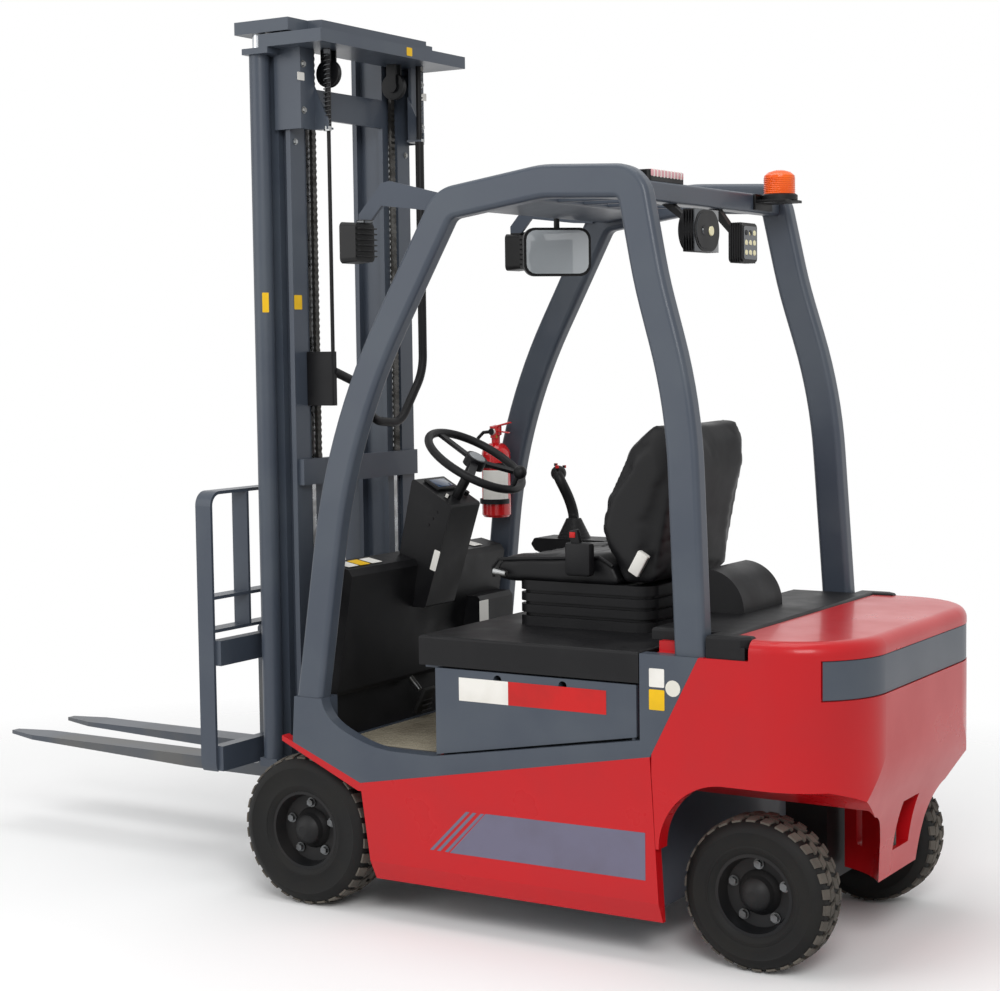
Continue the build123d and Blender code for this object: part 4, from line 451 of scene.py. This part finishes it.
class FORKLIFT_OT_tyres(bpy.types.Operator):
    """Make the tyres with their tread blocks and the wheel nuts"""

    bl_idname = "forklift.tyres"
    bl_label = "Tyres and wheel nuts"

    def execute(self, context):
        settings = context.scene.forklift_wheels
        for row in (
            ("front_left", 0, 438 - 0, 228.5, 172, 118, 1), ("front_right", 0, -438, 228.5, 172, 118, -1),
            ("rear_left", -1445, 395, 210, 142, 112, 1), ("rear_right", -1445, -395, 210, 142, 112, -1),
        ):
            self.wheel(settings, *row)
        return {"FINISHED"}

    def wheel(self, settings, name, x, y, radius, width, bore, hand):
        half = width / 2
        floor = radius - settings.groove
        wall = radius - 30
        shape = bmesh.new()
        outer = [
            (bore, half - 14), (bore + 12, half - 5), (bore + 16, half - 4.4), (bore + 17, half - 3), (bore + 22, half - 2.4),
            (bore + 24, half - 3.4), ((bore + wall) / 2, half - 1.2), (wall - 12, half - 2.6), (wall - 9, half - 1),
            (wall, half - 3), (floor - 6, half - 14), (floor, half - 24), (floor + 0.5, half * 0.4), (floor + 0.5, 0),
        ]
        profile = outer + [(reach, -across) for reach, across in reversed(outer[:-1])] + [outer[0]]
        lathe(shape, (x, y, radius), (0, 1, 0), profile, steps=60)
        pitch = 2 * pi / settings.pitches
        rows = (
            (half - 15, half * 0.44, 0.62, 0.10, 0.0), (-half + 15, -half * 0.44, 0.62, 0.10, 0.5),
            (half * 0.36, half * 0.04, 0.66, -0.22, 0.25), (-half * 0.36, -half * 0.04, 0.66, -0.22, 0.75),
        )
        for side_a, side_b, share, skew, shift in rows:
            for turn in range(settings.pitches):
                begin = (turn + shift) * pitch
                self.lug(shape, (x, y, radius), radius, half, floor, begin, share * pitch, side_a, side_b, skew * pitch)
        # the tread blocks take the second finish, a grey-brown lighter than the black grooves and walls
        finished(shape, name + "_tread_tyre", name + "_wheel", ["black_tyre_rubber", "grey_tread_blocks"], [name + "_tyre"])

        shape = bmesh.new()
        face = half - 14 - 41
        for turn in range(5):
            angle = 2 * pi * turn / 5 + 0.3
            spot = (x + 78 * cos(angle), y + hand * face, radius + 78 * sin(angle))
            bolt(shape, spot, (0, hand, 0), 11, 13)
        finished(shape, name + "_wheel_nuts", name + "_wheel", ["spring_steel"])

    def lug(self, shape, centre, radius, half, floor, begin, sweep, side_a, side_b, skew):
        """One tread block between two angles, leaning by the skew across its width."""
        corners = []
        for across, lean in ((side_a, 0.0), (side_b, skew)):
            top = radius - 0.6 if abs(across) < half - 26 else radius - 0.6 - (abs(across) - half + 26) * 0.55
            for reach in (floor - 4, top):
                for share in (0.0, 0.5, 1.0):
                    angle = begin + lean + sweep * share
                    corners.append(shape.verts.new(at(
                        centre[0] + reach * cos(angle), centre[1] + across, centre[2] + reach * sin(angle)
                    )))
        for quad in (
            (3, 4, 10, 9), (4, 5, 11, 10), (0, 3, 9, 6), (2, 8, 11, 5), (0, 1, 4, 3), (1, 2, 5, 4), (6, 9, 10, 7),
            (7, 10, 11, 8), (0, 6, 7, 1), (1, 7, 8, 2),
        ):
            shape.faces.new([corners[spot] for spot in quad]).material_index = 1


class FORKLIFT_OT_weight_trim(bpy.types.Operator):
    """Lay the grey band, the decal, the stripes and the blank plates on the body"""

    bl_idname = "forklift.body_trim"
    bl_label = "Body trim"

    def execute(self, context):
        # grey band in the recess round the tail
        shape = bmesh.new()
        rear, corner, half = -1755 + 1.2, 245 - 1.2, 540 - 1.2
        line = []
        for hand in (1, -1):
            arc = []
            for step in range(25):
                angle = pi / 2 * step / 24
                spot = (rear + corner - corner * sin(angle), hand * (half - corner + corner * cos(angle)))
                if spot[0] < -1656.5:
                    arc.append(spot)
            line += arc if hand == 1 else list(reversed(arc))
        rows = []
        for z in (754, 756, 855, 856.5):
            inset = 2.0 if z in (754, 856.5) else 0.0
            rows.append([
                shape.verts.new(at(x + inset * 0.7, y * (1 - inset / 540), z)) for x, y in line
            ])
        for low, high in zip(rows, rows[1:]):
            for step in range(len(line) - 1):
                shape.faces.new((low[step], low[step + 1], high[step + 1], high[step]))
        finished(shape, "counterweight_band", "truck", ["slate_enamel"])

        # decal with slanted stripes on each skirt
        shape = bmesh.new()
        for hand in (1, -1):
            y = hand * 540.2
            push = (0, hand * 0.5, 0)
            plate(shape, [(-664, y, 360), (-1170, y, 366), (-1170, y, 236), (-542, y, 234)], push)
            for top, foot in ((-599, -474), (-622, -498), (-648, -525)):
                plate(shape, [(top, y, 359), (top - 12, y, 359), (foot - 12, y, 235), (foot, y, 235)], push)
        finished(shape, "skirt_decals", "truck", ["decal_grey"])

        shape = bmesh.new()
        for hand in (1, -1):
            y = hand * 540.2
            label(shape, (-1208, y, 788), (45, 50), (0, hand, 0), corner=3, index=0)
            label(shape, (-1256, y, 763), (44, 44), (0, hand, 0), corner=21.9, index=1)
            label(shape, (-1208, y, 729), (46, 55), (0, hand, 0), corner=3, index=2)
        finished(shape, "rear_plate_labels", "truck", ["white_vinyl", "pale_vinyl", "yellow_vinyl"])

        # blank two-colour sticker on each battery door, red edge strips beside it
        for hand, side in ((1, "left"), (-1, "right")):
            shape = bmesh.new()
            y = hand * 532.3
            push = (0, hand * 0.5, 0)
            plate(shape, [(-576, y, 740), (-739, y, 740), (-739, y, 674), (-576, y, 674)], push, 0)
            plate(shape, [(-739, y, 740), (-1050, y, 740), (-1050, y, 674), (-739, y, 674)], push, 1)
            finished(shape, side + "_door_sticker", side + "_door_body", ["white_vinyl", "red_vinyl"])
        shape = bmesh.new()
        for hand in (1, -1):
            y = hand * 500.4
            push = (0, hand * 0.6, 0)
            plate(shape, [(-488, y, 508), (-500, y, 508), (-500, y, 756), (-488, y, 756)], push)
            plate(shape, [(-1143, y, 618), (-1156, y, 618), (-1156, y, 756), (-1143, y, 756)], push)
        finished(shape, "bay_edge_strips", "truck", ["red_enamel"])
        return {"FINISHED"}


class FORKLIFT_OT_mast_trim(bpy.types.Operator):
    """Add the polished roller tracks, bolts, plates, hose fittings and sheath coils of the mast"""

    bl_idname = "forklift.mast_trim"
    bl_label = "Mast trim"

    def execute(self, context):
        shape = bmesh.new()
        for hand in (1, -1):
            # polished tracks on the rear flanges of the inner rails
            for y in (hand * 222, hand * 258):
                plate(
                    shape, [(156.7, y - 9, 330), (156.7, y + 9, 330), (156.7, y + 9, 2370), (156.7, y - 9, 2370)],
                    (-0.3, 0, 0),
                )
        finished(shape, "rail_tracks", "inner_mast_body", ["polished_track"])

        shape = bmesh.new()
        for hand in (1, -1):
            for z in (2528, 2390):
                bolt(shape, (95, hand * 318, z), (-1, 0, 0), 8, 7)
            for x, y in ((40, 300), (40, 215), (150, 350)):
                bolt(shape, (x, hand * y, 2616), (0, 0, 1), 8, 6)
            for z in (470, 600, 2300):
                bolt(shape, (146.8, hand * 296, z), (-1, 0, 0), 7, 6)
        finished(shape, "mast_bolts", "outer_mast_body", ["zinc_bolt"])

        shape = bmesh.new()
        for hand in (1, -1):
            # spring sheath round the upper hoses, with bright couplings
            points = []
            turns = 16
            for step in range(turns * 12 + 1):
                angle = 2 * pi * step / 12
                points.append((
                    56 + 9.4 * cos(angle), hand * 252 + 9.4 * sin(angle), 2345 + 220 * step / (turns * 12)
                ))
            hose(shape, points, 1.6, sides=5, index=0)
            for z in (2330, 2562):
                rod(shape, (56, hand * 252, z), (56, hand * 252, z + 14), 12, sides=6, index=1)
        finished(shape, "hose_sheaths", "outer_mast_body", ["spring_steel", "zinc_bolt"])

        shape = bmesh.new()
        for hand in (1, -1):
            label(shape, (94.5, hand * 330, 2490), (34, 24), (-1, 0, 0), corner=2, index=0)
        label(shape, (146.6, 298, 1812), (38, 44), (-1, 0, 0), corner=3, index=1)
        label(shape, (213, 374, 1812), (20, 60), (-1, 1, 0), corner=2, index=1)
        label(shape, (-30.2, -70, 2597), (30, 26), (-1, 0, 0), corner=3, index=1)
        finished(shape, "mast_labels", "outer_mast_body", ["white_vinyl", "yellow_vinyl"])

        shape = bmesh.new()
        for hand in (1, -1):
            for z in (802, 905, 390, 700):
                bolt(shape, (394.5, hand * 455, z), (-1, 0, 0), 8, 6)
        finished(shape, "carriage_bolts", "carriage_body", ["zinc_bolt"])
        return {"FINISHED"}


class FORKLIFT_OT_cab_trim(bpy.types.Operator):
    """Add the mat, pedals, display, dash labels, lever buttons, extinguisher fittings and belt"""

    bl_idname = "forklift.cab_trim"
    bl_label = "Cab trim"

    def execute(self, context):
        # ribbed floor mat
        shape = bmesh.new()
        block(shape, (-255, 0, 494), (360, 850, 4), 1.5)
        for row in range(40):
            block(shape, (-255, -410 + row * 21, 497), (344, 9, 3), 0)
        finished(shape, "floor_mat", "truck", ["beige_rubber"])

        shape = bmesh.new()
        for y, width in ((-120, 70), (30, 62)):
            block(shape, (-118, y, 560), (14, width, 90), 4, 0, Matrix.Rotation(radians(-28), 4, "Y"))
            for rib in range(5):
                block(
                    shape, (-127 - rib * 0.5, y, 528 + rib * 16), (5, width - 10, 5), 1, 0,
                    Matrix.Rotation(radians(-28), 4, "Y"),
                )
            rod(shape, (-100, y, 590), (-62, y, 630), 8, sides=12, index=1)
        finished(shape, "pedals", "truck", ["pedal_rubber", "zinc_bolt"])

        # display and switches on the column
        lean = Matrix.Rotation(radians(-29.9), 4, "Y")
        shape = bmesh.new()
        block(shape, (-172, 0, 1241), (62, 112, 10), 4, 0, lean)
        block(shape, (-172, 0, 1244), (44, 84, 6), 2, 1, lean)
        for y in (-52, 52):
            rod(shape, (-228, y, 1206), (-235, y, 1217), 9, sides=16, index=0)
        label(shape, (-200, 82.2, 1010), (22, 66), (0, 1, 0), corner=3, index=2, turn=radians(-18))
        for step in range(3):
            label(shape, (-168 - step * 16, 82.2, 1120 + step * 20), (26, 10), (0, 1, 0), corner=4.9, index=0, lift=1.5)
        finished(shape, "column_display", "truck", ["black_abs", "display_glass", "white_vinyl"])

        shape = bmesh.new()
        for y, finish in ((385, 0), (325, 1), (262, 0), (-225, 1), (-310, 0)):
            label(shape, (-84, y, 1022.5), (52, 52), (-0.19, 0, 1), corner=3, index=finish)
        label(shape, (-165.5, -250, 796), (54, 100), (-1, 0, 0), corner=3, index=0)
        finished(shape, "dash_labels", "truck", ["white_vinyl", "yellow_vinyl"])

        # lever boot rings and buttons
        shape = bmesh.new()
        rings = []
        for fold in range(6):
            radius = 52 - fold * 5
            rings += [(radius - 5, fold * 10), (radius + 1, fold * 10 + 5)]
        rings = [(0, 0), (54, 0)] + rings + [(20, 62), (0, 62)]
        lathe(shape, (-443, -360, 1052.4), (0, 0, 1), rings, steps=28, index=0)
        for x, y, z in ((-396, -338, 1276), (-378, -360, 1281), (-398, -380, 1274)):
            rod(shape, (x, y, z), (x, y, z + 9), 6, sides=14, index=1)
        finished(shape, "lever_boot", "hood_body", ["boot_rubber", "red_vinyl"])

        # extinguisher: clamp strap, valve, handle, gauge and blank label
        ex, ey, ez = -121, -398, 1105
        shape = bmesh.new()
        for z in (1150, 1270):
            lathe(
                shape, (ex, ey, z), (0, 0, 1), [(48.2, 0), (50, 0), (50, 16), (48.2, 16)], steps=32, index=0,
            )
            block(shape, (ex + 4, ey - 49, z + 8), (26, 10, 20), 2, 0)
        rod(shape, (ex, ey, ez + 262), (ex, ey, ez + 296), 13, sides=20, index=1)
        block(shape, (ex - 26, ey, ez + 304), (78, 16, 6), 2, 2, Matrix.Rotation(radians(14), 4, "Y"))
        block(shape, (ex - 26, ey, ez + 283), (66, 14, 5), 2, 2, Matrix.Rotation(radians(-6), 4, "Y"))
        rod(shape, (ex - 2, ey + 12, ez + 283), (ex - 2, ey + 22, ez + 283), 11, sides=20, index=3)
        hose(shape, [(ex + 12, ey + 4, ez + 282), (ex + 32, ey + 16, ez + 280), (ex + 46, ey + 26, ez + 262),
                     (ex + 50, ey + 30, ez + 236)], 6, sides=10, index=0)
        finished(shape, "extinguisher_fittings", "truck", ["black_abs", "brass_valve", "extinguisher_enamel", "white_vinyl"])
        shape = bmesh.new()
        rows = []
        for z in (1166, 1262):
            rows.append([
                shape.verts.new(at(ex + 48.5 * cos(radians(turn)), ey + 48.5 * sin(radians(turn)), z))
                for turn in range(70, 211, 10)
            ])
        for step in range(len(rows[0]) - 1):
            shape.faces.new((rows[0][step], rows[0][step + 1], rows[1][step + 1], rows[1][step]))
        finished(shape, "extinguisher_label", "truck", ["white_vinyl"])

        # belt buckle stalk and reel on the seat, white release lever
        shape = bmesh.new()
        block(shape, (-818, 262, 1060), (84, 36, 96), 10, 0)
        block(shape, (-806, 264, 1122), (30, 20, 44), 5, 0, Matrix.Rotation(radians(12), 4, "Y"))
        block(shape, (-802, 275, 1130), (18, 4, 16), 1, 1)
        block(shape, (-1010, 262, 1056), (36, 22, 70), 5, 2, Matrix.Rotation(radians(-30), 4, "Y"))
        for y in (246,):
            rod(shape, (-560, y, 1004), (-520, y, 1010), 9, 12, sides=16, index=3)
        finished(shape, "seat_belt_parts", "hood_body", ["black_abs", "red_vinyl", "white_vinyl", "zinc_bolt"])

        # silver hub cap of the steering wheel
        shape = bmesh.new()
        tilt = radians(32)
        axis = Vector((-sin(tilt), 0, cos(tilt)))
        hub = Vector((-290, 0, 1300))
        rod(shape, tuple(hub + axis * 34.6), tuple(hub + axis * 37), 27, 24, sides=28, index=0)
        finished(shape, "wheel_cap", "steering_wheel_body", ["grey_abs"])
        return {"FINISHED"}


class FORKLIFT_OT_lamps(bpy.types.Operator):
    """Add the lenses, fins and diodes of the lamps, the ribbed beacon dome and the mirror glass"""

    bl_idname = "forklift.lamps"
    bl_label = "Lamps, beacon and mirror"

    def execute(self, context):
        shape = bmesh.new()
        for hand in (1, -1):
            y = hand * 455
            label(shape, (-170.5, y, 1975), (84, 102), (1, 0, 0), corner=10, index=0, lift=3)
            for row in range(2):
                for step in range(2):
                    rod(
                        shape, (-169, y - 20 + 40 * step, 1952 + 46 * row), (-163.5, y - 20 + 40 * step, 1952 + 46 * row),
                        13, 16, sides=16, index=1,
                    )
            for fin in range(6):
                block(shape, (-229, y, 1935 + fin * 16), (16, 84, 4), 1, 2)
            block(shape, (-222, y, 2034), (30, 44, 12), 3, 2)
        finished(shape, "work_lamp_lenses", "truck", ["lens_glass", "diode_yellow", "lamp_housing_black"])

        shape = bmesh.new()
        cross = -1132
        # spot lamp: lens, two diodes and fins
        for side in (-20, 20):
            rod(shape, (cross - 87.5, 245 + side, 1978), (cross - 92, 245 + side, 1978), 15, 13, sides=20, index=1)
        label(shape, (cross - 88, 245, 1978), (136, 98), (-1, 0, 0), corner=48, index=0, lift=1.5)
        for fin in range(5):
            block(shape, (cross - 52 - fin * 8, 245, 1978), (3, 150, 116), 1, 2)
        # square lamp with a grid of diodes
        label(shape, (cross - 80.2, -45, 1955), (84, 94), (-1, 0, 0), corner=8, index=0, lift=1.5)
        for row in range(3):
            for step in range(3):
                rod(
                    shape, (cross - 81, -72 + 27 * step, 1927 + 28 * row), (cross - 83.5, -72 + 27 * step, 1927 + 28 * row),
                    9, 7, sides=14, index=1,
                )
        for fin in range(5):
            block(shape, (cross - 44 - fin * 7, -45, 1955), (3, 104, 114), 1, 2)
        # strobe lens on its flat base
        block(shape, (-1104, 300, 2131.5), (49, 194, 20), 4, 3)
        for step in range(9):
            block(shape, (-1104, 220 + step * 20, 2131.5), (49.8, 6, 20.8), 1, 4)
        finished(
            shape, "rear_lamp_details", "truck",
            ["lens_glass", "diode_yellow", "lamp_housing_black", "pink_lens", "white_vinyl"],
        )

        # beacon: black base, ribbed amber dome
        shape = bmesh.new()
        bx, by, bz = -1190, -300, 2082
        block(shape, (-1136.5, by, bz + 3), (8, 120, 46), 1, 0)
        block(shape, (-1188, by, bz + 4), (96, 120, 8), 1, 0)
        lathe(shape, (bx, by, bz), (0, 0, 1), [(0, 8), (53.8, 8), (53.8, 22), (48, 26), (0, 26)], steps=40, index=0)
        profile = [(0, 26), (46.5, 26)]
        for rib in range(9):
            profile += [(46.8, 28 + rib * 5.5), (45.4, 30.5 + rib * 5.5)]
        profile += [(45, 80), (33, 90), (14, 95.5), (0, 95.5)]
        lathe(shape, (bx, by, bz), (0, 0, 1), profile, steps=48, index=1)
        finished(shape, "beacon_lamp", "truck", ["lamp_housing_black", "amber_polycarbonate"], ["beacon"])

        shape = bmesh.new()
        outline = [(-484 + (u * 0.7071) - 9.4 * 0.7071, -200 + u * 0.7071 + 9.4 * 0.7071, 1959 + v) for u, v in rounded(199, 134, 30)]
        plate(shape, outline, (-0.4, 0.4, 0))
        finished(shape, "mirror_face", "truck", ["silvered_glass"])
        return {"FINISHED"}


class ForkliftSeat(bpy.types.PropertyGroup):
    """Stuffed parts of the seat."""

    pressure: bpy.props.FloatProperty(name="Fill pressure", description="Cloth pressure", default=4.0, min=0)
    limit: bpy.props.FloatProperty(
        name="Most swelling", description="Farthest that the cover moves", default=0.009, unit="LENGTH"
    )


class FORKLIFT_OT_seat(bpy.types.Operator):
    """Stuff the seat cushion and backrest with a cloth simulation and sew on the piping"""

    bl_idname = "forklift.seat"
    bl_label = "Seat"

    def execute(self, context):
        settings = context.scene.forklift_seat
        for node in ("seat_cushion", "seat_backrest"):
            self.stuffed(context, settings, node)
        shape = bmesh.new()
        side = [(288, 6), (291, 36), (270, 60), (-68, 80), (-112, 56)]
        for hand in (1, -1):
            hose(
                shape, [(-800 + x, hand * 236, 985 + z) for x, z in side], 5, sides=8,
            )
        finished(shape, "cushion_piping", "hood_body", ["black_abs"])
        return {"FINISHED"}

    def stuffed(self, context, settings, node):
        source = frame["nodes"][node]
        shape = bmesh.new()
        shape.from_mesh(source.data)
        low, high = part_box(node)
        middle = (Vector(low) + Vector(high)) / 2
        bmesh.ops.scale(
            shape, verts=shape.verts, vec=(0.985, 0.985, 0.985), space=Matrix.Translation(-middle)
        )
        mesh = bpy.data.meshes.new(node + "_stuffed")
        shape.to_mesh(mesh)
        shape.free()
        thing = bpy.data.objects.new(node + "_stuffed", mesh)
        context.scene.collection.objects.link(thing)
        rebuild = thing.modifiers.new("rebuild", "REMESH")
        rebuild.mode = "VOXEL"
        rebuild.voxel_size = 0.008
        self.bake(context, thing)
        rest = [vert.co.copy() for vert in thing.data.vertices]
        cloth = thing.modifiers.new("cloth", "CLOTH")
        cloth.settings.use_pressure = True
        cloth.settings.uniform_pressure_force = settings.pressure
        cloth.settings.effector_weights.gravity = 0
        cloth.settings.quality = 4
        cloth.point_cache.frame_end = 20
        for step in range(1, 21):
            context.scene.frame_set(step)
        self.bake(context, thing)
        context.scene.frame_set(1)
        for vert, start in zip(thing.data.vertices, rest):
            push = vert.co - start
            if push.length > settings.limit:
                vert.co = start + push.normalized() * settings.limit
        smooth = thing.modifiers.new("smooth", "SMOOTH")
        smooth.iterations = 4
        self.bake(context, thing)
        self.quilt(thing, node == "seat_backrest")
        thing.data.materials.clear()
        thing.data.materials.append(bpy.data.materials["black_vinyl"])
        thing.data.polygons.foreach_set("use_smooth", [True] * len(thing.data.polygons))
        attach(thing, "hood_body")
        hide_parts(node)

    def quilt(self, thing, upright):
        """Press the middle panel and the stitched channels between the side bolsters."""
        thing.data.update()
        pushes = []
        for vert in thing.data.vertices:
            face = vert.normal.x if upright else vert.normal.z
            if face < 0.35:
                pushes.append(0.0)
                continue
            across = abs(vert.co.y) / MM
            along = (vert.co.z if upright else vert.co.x) / MM
            panel = 10 * max(0.0, min(1.0, (140 - across) / 18))
            seam = 5 * max(0.0, 1 - abs(across - 142) / 9)
            wave = abs((along / 92) % 1.0 - 0.5) * 92
            channel = 5 * max(0.0, 1 - wave / 9) if across < 140 else 0.0
            pushes.append((panel + seam + channel) * min(1.0, (face - 0.35) / 0.3))
        for vert, push in zip(thing.data.vertices, pushes):
            vert.co = vert.co - vert.normal * push * MM

    def bake(self, context, thing):
        """Turn the modifiers' result into the mesh."""
        graph = context.evaluated_depsgraph_get()
        made = bpy.data.meshes.new_from_object(thing.evaluated_get(graph))
        thing.modifiers.clear()
        old, thing.data = thing.data, made
        bpy.data.meshes.remove(old)


class FORKLIFT_OT_stage(bpy.types.Operator):
    """Set the camera, the floor, the backdrop and soft studio light"""

    bl_idname = "forklift.stage"
    bl_label = "Stage"

    def execute(self, context):
        stage = context.scene.forklift_stage
        scene = context.scene
        scene.view_settings.view_transform = "Standard"

        # camera: heading, pitch and roll to a rotation
        ahead = Vector((cos(stage.pitch) * cos(stage.yaw), cos(stage.pitch) * sin(stage.yaw), sin(stage.pitch)))
        right = ahead.cross(Vector((0, 0, 1))).normalized()
        up = right.cross(ahead)
        rolled_right = cos(stage.roll) * right + sin(stage.roll) * up
        rolled_up = -sin(stage.roll) * right + cos(stage.roll) * up
        lens = bpy.data.cameras.new("camera")
        lens.lens = stage.lens
        lens.sensor_width = 36
        lens.clip_end = 200
        camera = bpy.data.objects.new("camera", lens)
        scene.collection.objects.link(camera)
        turn = Matrix((rolled_right, rolled_up, -ahead)).transposed()
        camera.matrix_world = Matrix.Translation(stage.eye) @ turn.to_4x4()
        scene.camera = camera

        # plain pale floor that shows white to the camera and keeps the shadow
        shape = bmesh.new()
        bmesh.ops.create_grid(shape, x_segments=1, y_segments=1, size=30)
        plane = bpy.data.meshes.new("floor")
        shape.to_mesh(plane)
        shape.free()
        floor = bpy.data.objects.new("floor", plane)
        scene.collection.objects.link(floor)
        made, tree, out = new_material("studio_floor")
        surface = add_node(
            tree, "ShaderNodeBsdfPrincipled",
            {"Base Color": linear("#F7F7F7"), "Roughness": 0.95, "Specular IOR Level": 0.0},
        )
        place = add_node(tree, "ShaderNodeTexCoord")
        reach = add_node(tree, "ShaderNodeVectorMath", {0: place.outputs["Object"]}, operation="LENGTH")
        away = spread(tree, reach.outputs["Value"], 1.7, 3.4)
        clear = add_node(tree, "ShaderNodeBsdfTransparent")
        fade = add_node(
            tree, "ShaderNodeMixShader", {0: away, 1: surface.outputs[0], 2: clear.outputs[0]}
        )
        tree.links.new(fade.outputs[0], out.inputs[0])
        plane.materials.append(made)

        world = bpy.data.worlds.new("studio")
        world.use_nodes = True
        tree = world.node_tree
        tree.nodes.clear()
        path = add_node(tree, "ShaderNodeLightPath")
        seen = add_node(
            tree, "ShaderNodeMath",
            {0: path.outputs["Is Camera Ray"], 1: path.outputs["Is Glossy Ray"]}, operation="MAXIMUM",
        )
        shown = add_node(
            tree, "ShaderNodeMath", {0: seen.outputs[0], 1: path.outputs["Is Transmission Ray"]},
            operation="MAXIMUM",
        )
        strength = spread(tree, shown.outputs[0], 0, 1, 0.55, 1.0)
        sky = add_node(
            tree, "ShaderNodeBackground", {"Color": (1, 1, 1, 1), "Strength": strength}
        )
        end = add_node(tree, "ShaderNodeOutputWorld")
        tree.links.new(sky.outputs[0], end.inputs[0])
        scene.world = world

        for name, place, size, power in (
            ("key", (-4.5, 5.5, 5.0), 3.0, 260),
            ("fill", (3.0, 5.0, 3.0), 4.0, 90),
            ("top", (0.0, 0.0, 6.0), 4.0, 120),
        ):
            lamp = bpy.data.lights.new(name, "AREA")
            lamp.energy = power
            lamp.size = size
            thing = bpy.data.objects.new(name, lamp)
            thing.location = place
            aim = Vector((0, 0, 1.0)) - Vector(place)
            thing.rotation_euler = aim.to_track_quat("-Z", "Y").to_euler()
            scene.collection.objects.link(thing)
        return {"FINISHED"}


class FORKLIFT_PT_looks(bpy.types.Panel):
    """Lists the steps that dress the forklift"""

    bl_idname = "FORKLIFT_PT_looks"
    bl_label = "Forklift"
    bl_space_type = "VIEW_3D"
    bl_region_type = "UI"
    bl_category = "Forklift"

    def draw(self, context):
        for operator in OPERATORS:
            self.layout.operator(operator.bl_idname)


OPERATORS = (
    FORKLIFT_OT_finishes, FORKLIFT_OT_tyres, FORKLIFT_OT_weight_trim, FORKLIFT_OT_mast_trim, FORKLIFT_OT_cab_trim,
    FORKLIFT_OT_lamps, FORKLIFT_OT_seat, FORKLIFT_OT_stage,
)
CLASSES = (ForkliftPaint, ForkliftWheels, ForkliftSeat, ForkliftStage, *OPERATORS, FORKLIFT_PT_looks)


def register():
    for kind in CLASSES:
        bpy.utils.register_class(kind)
    bpy.types.Scene.forklift_paint = bpy.props.PointerProperty(type=ForkliftPaint)
    bpy.types.Scene.forklift_wheels = bpy.props.PointerProperty(type=ForkliftWheels)
    bpy.types.Scene.forklift_seat = bpy.props.PointerProperty(type=ForkliftSeat)
    bpy.types.Scene.forklift_stage = bpy.props.PointerProperty(type=ForkliftStage)


def unregister():
    del bpy.types.Scene.forklift_stage
    del bpy.types.Scene.forklift_seat
    del bpy.types.Scene.forklift_wheels
    del bpy.types.Scene.forklift_paint
    for kind in reversed(CLASSES):
        bpy.utils.unregister_class(kind)


def main():
    register()
    for operator in OPERATORS:
        group, name = operator.bl_idname.split(".")
        getattr(getattr(bpy.ops, group), name)()


if __name__ == "__main__":
    main()
